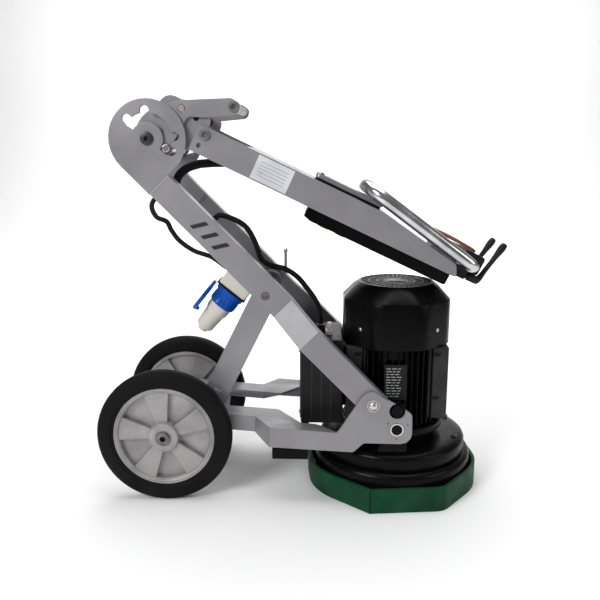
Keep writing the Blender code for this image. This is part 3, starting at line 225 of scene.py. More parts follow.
def shade(colour, factor):
    return tuple(min(1.0, channel * factor) for channel in colour)


def finish(slot, colour, rough, metal=0.0, tone=0.10, tone_size=7.0, grain=0.15, grain_size=900.0,
           scratch=0.3, scratch_colour=None, dust=0.25, dust_top=0.45, lacquer=0.0, shine=0.5, like=None):
    """A named coat of paint, plating, moulding or rubber; like names the slot that it goes under, and is
    stored but not used.
    """
    coat = bpy.data.materials.new(slot)
    coat.use_nodes = True
    tree = coat.node_tree
    shader = tree.nodes["Principled BSDF"]
    place = tree.nodes.new("ShaderNodeTexCoord").outputs["Object"]
    slow = ranged(tree, noise(tree, place, tone_size, 4), 0.35, 0.65, 0.0, 1.0)
    surface = mixed(tree, slow, shade(colour, 1 - tone), shade(colour, 1 + tone))
    lines = noise(tree, place, 60, 3, (1.0, 1.0, 14.0), (0.4, 0.9, 0.2))
    marks = times(tree, ranged(tree, lines, 0.66, 0.72, 0.0, 1.0),
                  ranged(tree, noise(tree, place, 16, 3), 0.5, 0.62, 0.0, scratch))
    surface = mixed(tree, marks, surface, scratch_colour or shade(colour, 1.35))
    wander = ranged(tree, noise(tree, place, 30, 5), 0.3, 0.7, max(0.02, rough - 0.07), min(1, rough + 0.09))
    if dust:
        parts = tree.nodes.new("ShaderNodeSeparateXYZ")
        wire(tree, place, parts.inputs["Vector"])
        height = ranged(tree, parts.outputs["Z"], 0.0, dust_top, dust, dust * 0.12)
        cloud = ranged(tree, noise(tree, place, 22, 8), 0.38, 0.7, 0.0, 1.0)
        powder = times(tree, height, cloud)
        surface = mixed(tree, powder, surface, DUST)
        wander = times(tree, wander, times(tree, powder, 0.5), "ADD")
    wire(tree, surface, shader.inputs["Base Color"])
    wire(tree, wander, shader.inputs["Roughness"])
    shader.inputs["Metallic"].default_value = metal
    shader.inputs["Specular IOR Level"].default_value = shine
    shader.inputs["Coat Weight"].default_value = lacquer
    shader.inputs["Coat Roughness"].default_value = 0.12
    if grain:
        relief = tree.nodes.new("ShaderNodeBump")
        relief.inputs["Strength"].default_value = grain
        relief.inputs["Distance"].default_value = 0.0004
        wire(tree, noise(tree, place, grain_size, 2), relief.inputs["Height"])
        wire(tree, relief.outputs["Normal"], shader.inputs["Normal"])
    COATS[slot] = (coat, like or slot)


# %% [markdown]
# Silver-grey powder coat covers the frame. It has a faint violet cast, a fine orange peel,
# and chips that show brighter metal. The wheels are cast, so their grain is coarser.

# %% Frame and wheel finishes
finish("silver_paint", (0.270, 0.264, 0.284), 0.40, 0.40, tone=0.10, grain=0.16, grain_size=1100,
       scratch=0.45, dust=0.14, lacquer=0.08)
finish("cast_aluminium", (0.34, 0.332, 0.336), 0.42, 0.45, tone=0.18, tone_size=22, grain=0.4,
       grain_size=520, scratch=0.6, dust=0.3, dust_top=0.3)
finish("bright_steel", (0.62, 0.61, 0.60), 0.26, 1.0, tone=0.08, tone_size=60, grain=0.12, dust=0.1)
finish("dark_steel", (0.055, 0.054, 0.053), 0.40, 0.8, tone=0.2, tone_size=50, grain=0.2,
       scratch_colour=(0.35, 0.33, 0.31), dust=0.15)
finish("bronze", (0.46, 0.36, 0.335), 0.36, 1.0, tone=0.2, tone_size=120, dust=0.0)
finish("grey_steel", (0.20, 0.185, 0.18), 0.42, 0.9, tone=0.25, tone_size=90, grain=0.2,
       scratch_colour=(0.45, 0.42, 0.40), dust=0.1, like="dark_steel")
# The chrome's strong slow tone and dark streaks are painted reflection: dark surroundings mirrored in the
# bar, laid into its colour.
finish("chrome", (0.60, 0.60, 0.61), 0.15, 1.0, tone=0.22, tone_size=24, grain=0.12, grain_size=90,
       scratch=0.3,
       scratch_colour=(0.30, 0.29, 0.29), dust=0.0)
print(len(COATS), "finishes so far")

# %% [markdown]
# Black on this machine is four finishes: glossy paint on castings, matt solid rubber on the
# tyres, soft cable rubber and fine-grained plastic. They differ in gloss and grain more than
# in colour. The skirt's rubber is green, and the inlet is ivory and blue.

# %% Rubber, paint and moulding finishes
finish("tyre_rubber", (0.0040, 0.0040, 0.0042), 0.66, tone=0.3, tone_size=30, grain=0.5, grain_size=700,
       scratch=0.25, scratch_colour=(0.035, 0.032, 0.030), dust=0.02, dust_top=0.26, shine=0.12)
finish("black_rubber", (0.0055, 0.0055, 0.006), 0.6, tone=0.2, grain=0.4, scratch=0.1, dust=0.01, shine=0.16)
finish("black_paint", (0.0022, 0.0020, 0.0021), 0.26, tone=0.25, tone_size=14, grain=0.25, grain_size=600,
       scratch=0.25, scratch_colour=(0.040, 0.030, 0.028), dust=0.008, dust_top=0.16, lacquer=0.0, shine=0.10)
finish("black_plastic", (0.0070, 0.0066, 0.0068), 0.42, tone=0.2, grain=0.5, grain_size=1500,
       scratch=0.2, scratch_colour=(0.05, 0.05, 0.05), dust=0.02, shine=0.22)
finish("green_rubber", (0.0012, 0.048, 0.017), 0.50, tone=0.32, tone_size=18, grain=0.5, grain_size=420,
       scratch=0.8, scratch_colour=(0.002, 0.012, 0.006), dust=0.03, dust_top=0.06, shine=0.14)
finish("brown_pad", (0.23, 0.085, 0.05), 0.55, tone=0.2, tone_size=35, grain=0.5, dust=0.0)
finish("ivory_plastic", (0.66, 0.63, 0.57), 0.38, tone=0.06, tone_size=20, grain=0.2,
       scratch=0.3, scratch_colour=(0.45, 0.43, 0.38), dust=0.12, dust_top=0.6)
finish("blue_plastic", (0.0008, 0.072, 0.40), 0.32, tone=0.12, tone_size=30, grain=0.15, scratch=0.3,
       scratch_colour=(0.02, 0.14, 0.5), dust=0.01, lacquer=0.06, shine=0.22)
finish("green_plastic", (0.02, 0.30, 0.06), 0.30, tone=0.05, dust=0.02)
finish("red_plastic", (0.50, 0.02, 0.02), 0.30, tone=0.05, dust=0.02)
print(len(COATS), "finishes in all")

# %% [markdown]
# Every node of the frame gets its coat first, so nothing is left plain. The pieces made below
# then take the place of some nodes and bring their own coat.

# %% Coat every part of the frame
for node, thing in frame["nodes"].items():
    for place in thing.material_slots:
        place.material = COATS[SLOT_OF[node]][0]
print(len(frame["nodes"]), "nodes coated")

# %% [markdown]
# ## Tools for shaping
# Turned parts come from a half outline spun round an axis, plates from an outline with
# thickness, and blocks from a cube with eased edges. Each tool returns an open bmesh, so
# several can be joined before they become one piece.


# %% Shaping tools
def spun(outline, steps=96, ring=False):
    """Spin a half outline of (radius, height) points round Z."""
    shape = bmesh.new()
    points = [shape.verts.new((radius, 0, height)) for radius, height in outline]
    pairs = list(zip(points, points[1:])) + ([(points[-1], points[0])] if ring else [])
    edges = [shape.edges.new(pair) for pair in pairs]
    bmesh.ops.spin(shape, geom=points + edges, cent=(0, 0, 0), axis=(0, 0, 1), angle=math.tau,
                   steps=steps, use_merge=True)
    bmesh.ops.remove_doubles(shape, verts=shape.verts, dist=1e-6)
    bmesh.ops.recalc_face_normals(shape, faces=shape.faces)
    return shape


def ease(shape, width, segments=2, angle=30):
    corners = [edge for edge in shape.edges
               if len(edge.link_faces) == 2 and edge.calc_face_angle(0) > math.radians(angle)]
    bmesh.ops.bevel(shape, geom=corners, offset=width, affect="EDGES", segments=segments, profile=0.5,
                    material=-1, clamp_overlap=True)
    return shape


def block(low, high, edge=0.001, segments=2):
    shape = bmesh.new()
    bmesh.ops.create_cube(shape, size=1)
    low, high = Vector(low), Vector(high)
    bmesh.ops.scale(shape, vec=high - low, verts=shape.verts)
    bmesh.ops.translate(shape, vec=(low + high) / 2, verts=shape.verts)
    return ease(shape, edge, segments) if edge else shape


def slab(outline, depth, edge=0.0):
    """Give a closed outline of (x, y) points a thickness from z = 0 to depth."""
    shape = bmesh.new()
    face = shape.faces.new([shape.verts.new((x, y, 0)) for x, y in outline])
    grown = bmesh.ops.extrude_face_region(shape, geom=[face])
    bmesh.ops.translate(shape, vec=(0, 0, depth),
                        verts=[v for v in grown["geom"] if isinstance(v, bmesh.types.BMVert)])
    bmesh.ops.recalc_face_normals(shape, faces=shape.faces)
    return ease(shape, edge) if edge else shape


def moved(shape, matrix):
    bmesh.ops.transform(shape, matrix=matrix, verts=shape.verts)
    if matrix.determinant() < 0:
        bmesh.ops.reverse_faces(shape, faces=shape.faces)
    return shape


def joined(*shapes):
    whole = bmesh.new()
    for shape in shapes:
        carrier = bpy.data.meshes.new("carrier")
        shape.to_mesh(carrier)
        shape.free()
        whole.from_mesh(carrier)
        bpy.data.meshes.remove(carrier)
    return whole


def facing(direction, at):
    """Turn Z to a direction and move the origin to a place."""
    turn = Vector((0, 0, 1)).rotation_difference(Vector(direction)).to_matrix().to_4x4()
    return Matrix.Translation(at) @ turn


def make(name, shape, coat, body, stands_for=(), smooth=32):
    """Turn a bmesh into a finished piece that rides on a body."""
    mesh = bpy.data.meshes.new(name)
    shape.to_mesh(mesh)
    shape.free()
    mesh.materials.append(COATS[coat][0])
    mesh.shade_smooth()
    mesh.set_sharp_from_angle(angle=math.radians(smooth))
    piece = bpy.data.objects.new(name, mesh)
    bpy.context.scene.collection.objects.link(piece)
    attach(piece, body)
    if stands_for:
        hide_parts(*stands_for)
    return piece


def eased_copy(node, width=0.0007, coat=None):
    """The frame's own shape with softened edges, which catch the light as bent plate does."""
    shape = bmesh.new()
    shape.from_mesh(frame["nodes"][node].data)
    bmesh.ops.remove_doubles(shape, verts=shape.verts, dist=2e-5)
    bmesh.ops.dissolve_limit(shape, angle_limit=math.radians(2), verts=shape.verts, edges=shape.edges)
    ease(shape, width, 2, 40)
    piece = make(f"{node}_eased", shape, coat or SLOT_OF[node], BODY_OF[node], (node,))
    flats = piece.modifiers.new("flats_stay_flat", "WEIGHTED_NORMAL")
    flats.weight = 100
    flats.keep_sharp = True
    return piece


# %% [markdown]
# ## Plates and channels
# Laser-cut plate and folded channel never have a razor edge. A copy of each plate gets a
# bevel under a millimetre wide, which is enough to draw a bright line along it.

# %% Soften the plate edges
PLATES = ["arm", "beam", "quadrant", "strut", "hinge_plate", "cheek", "release_lever", "head_ear"]
for plate in PLATES:
    for side_name, side in SIDES:
        eased_copy(f"{plate}_{side_name}")
for plate in ("cross_bar", "handle_cover", "drive_box", "panel", "panel_gasket", "switch_box", "inlet_box",
              "inlet_gasket", "terminal_case"):
    eased_copy(plate, 0.0009)
print("softened", 2 * len(PLATES) + 9, "plates and boxes")

# %% [markdown]
# ## Wheels
# Each wheel is a cast disc with five broad raised spokes and a solid rubber tyre. The tyre has
# a flat tread, soft shoulders and a thin bright ring where the rubber meets the rim.

# %% Tyres
WHEEL_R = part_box("tyre_near")[1].z / 2
RIM_R = (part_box("wheel_near")[1].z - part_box("wheel_near")[0].z) / 2
HALF = (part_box("tyre_near")[1].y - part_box("tyre_near")[0].y) / 2


def wheel_place(side_name, side):
    centre = middle(f"tyre_{side_name}")
    return Matrix.Translation(centre) @ Matrix.Rotation(-side * math.pi / 2, 4, "X")


for side_name, side in SIDES:
    inner = RIM_R + 0.0004
    shoulder = [(WHEEL_R - 0.0105, HALF), (WHEEL_R - 0.0060, HALF - 0.0012),
                (WHEEL_R - 0.0025, HALF - 0.0036),
                (WHEEL_R - 0.0006, HALF - 0.0070), (WHEEL_R, HALF - 0.0105)]
    half_outline = [(inner, HALF - 0.003), (inner + 0.003, HALF - 0.0018), (inner + 0.0045, HALF - 0.0018),
                    (inner + 0.0065, HALF)] + shoulder
    outline = half_outline + [(radius, -height) for radius, height in reversed(half_outline)]
    make(f"tyre_{side_name}_rubber", moved(spun(outline, 128, ring=True), wheel_place(side_name, side)),
         "tyre_rubber", f"wheel_{side_name}", (f"tyre_{side_name}",))
print("tyre radius", WHEEL_R, "and half width", HALF)


# %% [markdown]
# The disc is turned, and its spokes are broad raised sectors laid on both faces of the web.
# A sector could be cut from the disc, but laying it on is simpler and leaves the web whole.

# %% Cast wheel discs
def sector(radius_in, radius_out, middle_deg, half_in, half_out, steps=10):
    """An outline between two radii, whose sides may spread or close outwards."""
    out = [(radius_out, middle_deg - half_out + 2 * half_out * i / steps) for i in range(steps + 1)]
    back = [(radius_in, middle_deg + half_in - 2 * half_in * i / steps) for i in range(steps + 1)]
    return [(r * math.cos(math.radians(a)), r * math.sin(math.radians(a))) for r, a in out + back]


SPOKES = 5
for side_name, side in SIDES:
    rim = 0.0120
    web = rim - 0.0135
    outline = [(0.0087, rim + 0.0038), (0.0240, rim + 0.0038), (0.0262, rim + 0.0028), (0.0270, rim + 0.0008),
               (0.0285, web + 0.0050), (0.0310, web), (0.0820, web), (0.0838, rim - 0.0040),
               (0.0850, rim - 0.0030), (0.0862, rim - 0.0010), (0.0876, rim), (0.0886, rim),
               (0.0892, rim - 0.0008),
               (0.0900, rim - 0.0008), (0.0908, rim), (RIM_R - 0.001, rim), (RIM_R, rim - 0.001),
               (RIM_R, -rim), (0.0870, -rim), (0.0850, -0.0045), (0.0275, -0.0045), (0.0260, -rim),
               (0.0087, -rim)]
    disc = spun(outline, 120, ring=True)
    spokes = []
    for i in range(SPOKES):
        at = 98 + i * 360 / SPOKES
        if side > 0:
            at = 180 - at
        pad = slab(sector(0.0265, 0.0845, at, 23, 15.5), 0.0105)
        ease(pad, 0.0016, 3, 50)
        spokes.append(moved(pad, Matrix.Translation((0, 0, rim - 0.0135))))
        back_pad = slab(sector(0.0262, 0.0858, at, 23, 15.5), 0.0070)
        spokes.append(moved(back_pad, Matrix.Translation((0, 0, -rim + 0.0008))))
    ring_groove = spun([(0.0140, rim + 0.0036), (0.0150, rim + 0.0046), (0.0160, rim + 0.0036)], 72,
                       ring=True)
    make(f"wheel_{side_name}_casting", moved(joined(disc, ring_groove, *spokes),
                                             wheel_place(side_name, side)),
         "cast_aluminium", f"wheel_{side_name}", (f"wheel_{side_name}",), 38)
print("two castings with", SPOKES, "spokes each")

# %% [markdown]
# ## Grinding head
# A pressed pan and a thicker dish sit under the motor. Both are turned, so a fine spin gives
# true circles.

# %% Pan and dish
PAN_LOW, PAN_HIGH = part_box("pan")
PAN_R = (PAN_HIGH.x - PAN_LOW.x) / 2
DISH_LOW, DISH_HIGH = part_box("dish")
DISH_R = (DISH_HIGH.x - DISH_LOW.x) / 2
pan_outline = [(0.0, PAN_HIGH.z), (PAN_R - 0.010, PAN_HIGH.z), (PAN_R - 0.006, PAN_HIGH.z - 0.0010),
               (PAN_R - 0.0025, PAN_HIGH.z - 0.0040), (PAN_R, PAN_HIGH.z - 0.0090),
               (PAN_R, PAN_LOW.z + 0.001),
               (PAN_R - 0.001, PAN_LOW.z), (PAN_R - 0.005, PAN_LOW.z), (PAN_R - 0.005, PAN_HIGH.z - 0.005),
               (0.0, PAN_HIGH.z - 0.005)]
make("pan_pressing", moved(spun(pan_outline, 144), Matrix.Translation(HEAD)), "black_paint", "head", ("pan",))
dish_outline = [(0.0, DISH_HIGH.z), (0.116, DISH_HIGH.z), (0.128, DISH_HIGH.z - 0.0010),
                (0.1360, DISH_HIGH.z - 0.0034), (0.1400, DISH_HIGH.z - 0.0066),
                (DISH_R, DISH_HIGH.z - 0.0110),
                (DISH_R, DISH_LOW.z + 0.003), (DISH_R - 0.0015, DISH_LOW.z), (0.0, DISH_LOW.z)]
make("dish_casting", moved(spun(dish_outline, 144), Matrix.Translation(HEAD)), "black_paint", "head",
     ("dish",))
print("pan radius", round(PAN_R, 4), "dish radius", round(DISH_R, 4))

# %% [markdown]
# The skirt is made of rubber strips that meet square at two seams and bend round elsewhere,
# so its own solid is kept, with eased edges and dark lines where strips meet.

# %% Rubber skirt strips
eased_copy("skirt", 0.0011)
SKIRT_FLAT = 0.164
SKIRT_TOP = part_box("skirt")[1].z
skirt_centre = Vector((middle("skirt").x, middle("skirt").y, 0))
square_corner = SKIRT_FLAT / math.cos(math.pi / 8)
soft_corner = square_corner - 0.035 * (1 / math.cos(math.pi / 8) - 1)
seams = []
for turn, reach, width in ((73, square_corner, 0.0022), (253, square_corner, 0.0022),
                           (118, soft_corner, 0.0009), (298, soft_corner, 0.0009)):
    post = block((reach - 0.0030, -width / 2, 0.0006), (reach + 0.0002, width / 2, SKIRT_TOP - 0.0004),
                 0.0001, 1)
    seams.append(moved(post, Matrix.Rotation(math.radians(turn), 4, "Z")))
make("skirt_seams", moved(joined(*seams), Matrix.Translation(skirt_centre)), "black_rubber", "skirt")
print("skirt centre", tuple(round(v, 4) for v in skirt_centre))

# %% [markdown]
# ## Motor
# The motor is a flanged, finned housing. Thin fins run up the barrel between four flat bolt pads,
# which are worn lighter. One block is made for each fin and turned into place.

# %% Finned barrel
MOTOR_LOW, MOTOR_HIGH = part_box("motor")
COWL_LOW, COWL_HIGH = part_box("cowl")
barrel = spun([(0.0, MOTOR_HIGH.z), (0.0800, MOTOR_HIGH.z), (0.0820, MOTOR_HIGH.z - 0.002),
               (0.0820, 0.1310), (0.0965, 0.1300), (0.0980, 0.1285), (0.0980, 0.1170), (0.0965, 0.1155),
               (0.0860, 0.1148), (0.0860, MOTOR_LOW.z), (0.0, MOTOR_LOW.z)], 96)
ribs = []
FIN_DEG = 7.5
for i in range(48):
    angle = i * FIN_DEG
    if abs(math.sin(math.radians(angle))) < 0.62 and abs(math.sin(math.radians(angle))) > 0.28:
        continue
    fin = block((0.0790, -0.0011, 0.1360), (0.0938, 0.0011, MOTOR_HIGH.z - 0.0010), 0.0007, 1)
    ribs.append(moved(fin, Matrix.Rotation(math.radians(angle), 4, "Z")))
pads = []
for along in (-1, 1):
    for side_name, side in SIDES:
        low = (min(along * 0.058, along * 0.0955), min(side * 0.030, side * 0.0645), 0.1415)
        high = (max(along * 0.058, along * 0.0955), max(side * 0.030, side * 0.0645), MOTOR_HIGH.z - 0.0018)
        pads.append(block(low, high, 0.0022, 3))
make("motor_barrel", moved(joined(barrel, *ribs), Matrix.Translation(HEAD)), "black_paint", "head",
     ("motor",))
finish("worn_paint", (0.020, 0.0185, 0.019), 0.42, tone=0.3, tone_size=25, grain=0.35, grain_size=500,
       scratch=0.5, scratch_colour=(0.07, 0.06, 0.058), dust=0.06, dust_top=0.5, shine=0.3,
       like="black_paint")
make("motor_pads", moved(joined(*pads), Matrix.Translation(HEAD)), "worn_paint", "head")
print("barrel with", len(ribs), "fins and", len(pads), "pads")

# %% [markdown]
# The fan cover is an octagon that draws in to a round top. It is built from level rings that
# are bridged one to the next, so the corners can round off as the rings climb. Bars and hoops
# stand in the top's opening.

# %% Fan cover
FLAT = 0.100
TOP_R = 0.074
CORNER = FLAT / math.cos(math.pi / 8) - 0.0035


def cover_ring(flat, corner, height, steps=12):
    """One level of the cover: an octagon whose corners round off, or a circle when both radii agree."""
    points = []
    for i in range(8 * steps):
        angle = math.tau * i / (8 * steps)
        side_off = (angle + math.pi / 8) % (math.pi / 4) - math.pi / 8
        straight = flat / max(math.cos(side_off), 0.001)
        radius = min(straight, corner)
        points.append(Vector((radius * math.cos(angle), radius * math.sin(angle), height)))
    return points


levels = [(FLAT - 0.0035, CORNER - 0.0035, COWL_LOW.z), (FLAT, CORNER, COWL_LOW.z), (FLAT, CORNER, 0.3655),
          (FLAT - 0.0006, CORNER - 0.0010, 0.3680), (FLAT - 0.0024, CORNER - 0.0040, 0.3702),
          (TOP_R + 0.0055, TOP_R + 0.0070, 0.3902), (TOP_R + 0.0010, TOP_R + 0.0012, 0.3934),
          (TOP_R - 0.0030, TOP_R - 0.0030, COWL_HIGH.z), (TOP_R - 0.0075, TOP_R - 0.0075, COWL_HIGH.z),
          (TOP_R - 0.0085, TOP_R - 0.0085, COWL_HIGH.z - 0.0045)]
cover = bmesh.new()
loops = []
for flat, corner, height in levels:
    points = [cover.verts.new(point) for point in cover_ring(flat, corner, height)]
    loops.append([cover.edges.new(pair) for pair in zip(points, points[1:] + points[:1])])
for below, above in zip(loops, loops[1:]):
    bmesh.ops.bridge_loops(cover, edges=below + above)
bmesh.ops.holes_fill(cover, edges=loops[-1])
bmesh.ops.recalc_face_normals(cover, faces=cover.faces)
cover_top = COWL_HIGH.z
grille = []
for i in range(40):
    bar = block((0.0205, -0.00125, cover_top - 0.0050), (0.0670, 0.00125, cover_top - 0.0006), 0.0004, 1)
    grille.append(moved(bar, Matrix.Rotation(math.tau * i / 40, 4, "Z")))
for radius in (0.0200, 0.0345, 0.0500):
    hoop = [(radius, cover_top - 0.0050), (radius + 0.0030, cover_top - 0.0050),
            (radius + 0.0030, cover_top - 0.0004),
            (radius, cover_top - 0.0004)]
    grille.append(spun(hoop, 72, ring=True))
cap = spun([(0.0, cover_top - 0.0003), (0.0185, cover_top - 0.0003), (0.0200, cover_top - 0.0012),
            (0.0200, cover_top - 0.0050), (0.0, cover_top - 0.0050)], 48)
make("fan_cover", moved(joined(cover, cap), Matrix.Translation(HEAD)), "black_paint", "head", ("cowl",))
finish("grille_wire", (0.045, 0.045, 0.046), 0.35, 0.3, dust=0.3, dust_top=3.0, like="black_paint")
make("fan_grille", moved(joined(*grille), Matrix.Translation(HEAD)), "grille_wire", "head")
print("cover top at", round(cover_top, 4))

# %% [markdown]
# ## Screws
# A screw head is a short turned button with a round socket. They are small, but at this scale
# they are what tells a bolted machine from a moulded toy.


# %% Screw heads
def socket_screw(radius, height, socket=0.55):
    """A round head with a round recess, standing on z = 0."""
    head = spun([(0.0, 0.0), (radius, 0.0), (radius, height * 0.8), (radius * 0.9, height),
                 (radius * socket * 1.16, height), (radius * socket * 1.10, height * 0.95),
                 (radius * socket, height * 0.3), (0.0, height * 0.25)], 36)
    return head


def dome_screw(radius, height):
    """A domed head with a thin washer below it."""
    arc = [(radius * math.cos(math.radians(a)), 0.0009 + (height - 0.0009) * math.sin(math.radians(a)))
           for a in range(0, 91, 15)]
    return spun([(0.0, 0.0), (radius * 1.25, 0.0), (radius * 1.25, 0.0008), (radius, 0.0009)] + arc, 36)


def put_screws(name, kind, size, height, spots, coat, body):
    """Several alike screws as one piece; each spot is (place, direction)."""
    heads = [moved(kind(size, height), facing(direction, place)) for place, direction in spots]
    return make(name, joined(*heads), coat, body)


# %% [markdown]
# Four domed screws hold the cover, and socket screws ring the dish where the arms leave room.

# %% Screws on the head
cover_spots = []
for turn in (45, 135, 225, 315):
    out = Vector((math.cos(math.radians(turn)), math.sin(math.radians(turn)), 0))
    cover_spots.append((HEAD + out * (FLAT - 0.0002) + Vector((0, 0, 0.3168)), out))
put_screws("cover_screws", dome_screw, 0.0030, 0.0026, cover_spots, "bright_steel", "head")
ring_spots = []
for i in range(8):
    turn = math.radians(22.5 + 45 * i)
    ring_spots.append((HEAD + Vector((0.1255 * math.cos(turn), 0.1255 * math.sin(turn),
                                      DISH_HIGH.z - 0.0012)),
                       (0, 0, 1)))
ring_spots = [spot for spot in ring_spots if abs(spot[0].y) < 0.112]
put_screws("dish_screws", socket_screw, 0.0052, 0.0048, ring_spots, "dark_steel", "head")
print(len(cover_spots) + len(ring_spots), "screws on the head")

# %% [markdown]
# The bolt pads carry two oblong holes each, drawn as thin black patches of painted shade, and a
# dark plate with rows of plain dashes stands for the rating plate. The dashes carry no words.

# %% Pad holes as painted shade, and rating plate
hole_shade_patches = []
for along in (-1, 1):
    for side_name, side in SIDES:
        for level in (0.183, 0.268):
            # Each hole is a thin black patch on the pad face, not a cut: painted shade where the hole would
            # be dark inside.
            hole = block((along * 0.074 - 0.0060, -0.0034, -0.0004),
                         (along * 0.074 + 0.0060, 0.0034, 0.0006), 0.0003, 1)
            rim = moved(hole, Matrix.Translation((0, side * 0.0645,
                                                  level)) @ Matrix.Rotation(-side * math.pi / 2, 4, "X"))
            hole_shade_patches.append(rim)
make("pad_hole_shade", moved(joined(*hole_shade_patches), Matrix.Translation(HEAD)), "black_rubber", "head")
plate_low = (0.157 - 0.184, -0.0962, 0.189)
plate_high = (0.198 - 0.184, -0.0940, 0.257)
make("rating_plate", moved(block(plate_low, plate_high, 0.0006, 1), Matrix.Translation(HEAD)),
     "black_plastic", "head")
dashes = []
for row_at in range(11):
    start = plate_low[0] + 0.004
    for piece_at in range(3):
        length = 0.0045 + 0.0045 * ((row_at * 7 + piece_at * 5) % 4) / 3
        level = plate_low[2] + 0.0070 + row_at * 0.0053
        dashes.append(block((start, -0.0965, level), (start + length, -0.0961, level + 0.0014), 0))
        start += length + 0.0025
finish("plate_print", (0.42, 0.42, 0.44), 0.5, dust=0.1, like="black_plastic")
make("rating_rows", moved(joined(*dashes), Matrix.Translation(HEAD)), "plate_print", "head")
patch = block((plate_low[0] + 0.001, -0.0965, plate_low[2] + 0.001),
              (plate_low[0] + 0.010, -0.0961, plate_low[2] + 0.006), 0)
make("rating_patch", moved(patch, Matrix.Translation(HEAD)), "blue_plastic", "head")
print(len(dashes), "dashes on the rating plate")

# %% [markdown]
# ## The folding handle
# Everything on the handle is easiest to place in the handle's own slope: u runs along it from
# the fold pivot, v stands square to it, and y goes across.

# %% Handle coordinates
PIVOT = Vector(JOINT["handle_fold"]["pos_m"])
DATUM = PIVOT.x + 0.2625
SLOPE = math.radians(25.3)
HANDLE = Matrix.Translation(PIVOT) @ Matrix.Rotation(SLOPE, 4, "Y")


def on_handle(u, y, v):
    return HANDLE @ Vector((u, y, v))


def drawn(x, y, z):
    """A point on the part's drawing, whose datum lies a few millimetres from the middle."""
    return Vector((x + DATUM, y, z))


print("fold pivot at", tuple(round(v, 4) for v in PIVOT))


# %% [markdown]
# Tubes and cables follow routes. A curve with a round bevel makes them, because its bends keep
# their section, and the curve then becomes a mesh.


# %% Tubes along a route
def rounded_route(corners, radii, steps=14):
    """A closed flat route with each corner turned into an arc."""
    route = []
    for i, corner in enumerate(corners):
        before = (corners[i - 1] - corner).normalized()
        after = (corners[(i + 1) % len(corners)] - corner).normalized()
        half = before.angle(after) / 2
        reach = radii[i] / math.tan(half)
        centre = corner + (before + after).normalized() * radii[i] / math.sin(half)
        start, end = corner + before * reach - centre, corner + after * reach - centre
        for k in range(steps + 1):
            route.append(centre + start.slerp(end, k / steps).normalized() * radii[i])
    return route


def smooth_route(points, per_span=8):
    """A curve through the points, read off at even steps of each span."""
    points = [Vector(point) for point in points]
    ends = [points[0] * 2 - points[1]] + points + [points[-1] * 2 - points[-2]]
    route = []
    for a, b, c, d in zip(ends, ends[1:], ends[2:], ends[3:]):
        for k in range(per_span):
            t = k / per_span
            route.append(0.5 * (2 * b + (c - a) * t + (2 * a - 5 * b + 4 * c - d) * t * t
                                + (3 * b - a - 3 * c + d) * t ** 3))
    return route + [points[-1]]


def tube(route, radius, closed=False, sides=6):
    """A round tube along a route, as a bmesh."""
    line = bpy.data.curves.new("route", "CURVE")
    line.dimensions = "3D"
    line.bevel_depth = radius
    line.bevel_resolution = sides
    line.use_fill_caps = True
    spline = line.splines.new("POLY")
    spline.points.add(len(route) - 1)
    for point, place in zip(spline.points, route):
        point.co = (*place, 1)
    spline.use_cyclic_u = closed
    holder = bpy.data.objects.new("route", line)
    shape = bmesh.new()
    carrier = holder.to_mesh()
    shape.from_mesh(carrier)
    holder.to_mesh_clear()
    bpy.data.objects.remove(holder)
    bpy.data.curves.remove(line)
    bmesh.ops.remove_doubles(shape, verts=shape.verts, dist=1e-6)
    bmesh.ops.recalc_face_normals(shape, faces=shape.faces)
    return shape


# %% [markdown]
# The grip bar is one chromed tube bent into a closed loop, with wide bends at the far end and
# tight ones in the clamps.

# %% Chrome grip bar
BAR_R = 0.0125
low_run, high_run = (0.620, 0.0430), (0.3815, 0.0905)
corners = [on_handle(low_run[0], -0.068, low_run[1]), on_handle(high_run[0], -0.068, high_run[1]),
           on_handle(high_run[0], 0.068, high_run[1]), on_handle(low_run[0], 0.068, low_run[1])]
bar_route = rounded_route(corners, [0.016, 0.044, 0.044, 0.016])
make("grip_bar", tube(bar_route, BAR_R, closed=True, sides=12), "chrome", "handlebar", ("handlebar",), 60)
print("grip bar route of", len(bar_route), "points")

# %% [markdown]
# Two split clamps hold the bar, each locked with a moulded lever whose hub is moulded with it.
# The lever is a tapered arm with a fuller end, spun from one tapered outline.

# %% Clamps and levers
for side_name, side in SIDES:
    eased_copy(f"clamp_{side_name}", 0.0012)
    y = side * 0.040
    start, end = on_handle(0.6440, y, 0.0225), on_handle(0.6575, y, 0.1035)
    hub = spun([(0.0, 0.0002), (0.0052, 0.0002), (0.0052, 0.0040), (0.0074, 0.0046), (0.0076, 0.0120),
                (0.0074, 0.0255), (0.0060, 0.0272), (0.0046, 0.0274), (0.0040, 0.0262), (0.0, 0.0258)], 40)
    hub = moved(hub, facing(HANDLE.to_3x3() @ Vector((1, 0, 0)), on_handle(0.6183, y, 0.022)))
    length = (end - start).length
    taper = [(0.0, -0.0050), (0.0035, -0.0042), (0.0052, -0.0020), (0.0058, 0.004), (0.0049, 0.018),
             (0.0046, 0.040), (0.0052, 0.054), (0.0066, length - 0.016), (0.0070, length - 0.009),
             (0.0062, length - 0.002), (0.0036, length + 0.0008), (0.0, length + 0.0014)]
    arm = moved(spun(taper, 32), facing(end - start, start))
    make(f"lever_{side_name}_moulding", joined(hub, arm), "black_plastic", f"clamp_lever_{side_name}",
         (f"clamp_lever_{side_name}",), 45)
print("lever length", round(length, 4))

# %% [markdown]
# A brown moulded pad sits on the switch box. Its crowned side profile is drawn and given a
# width, which keeps the crown the same right across.

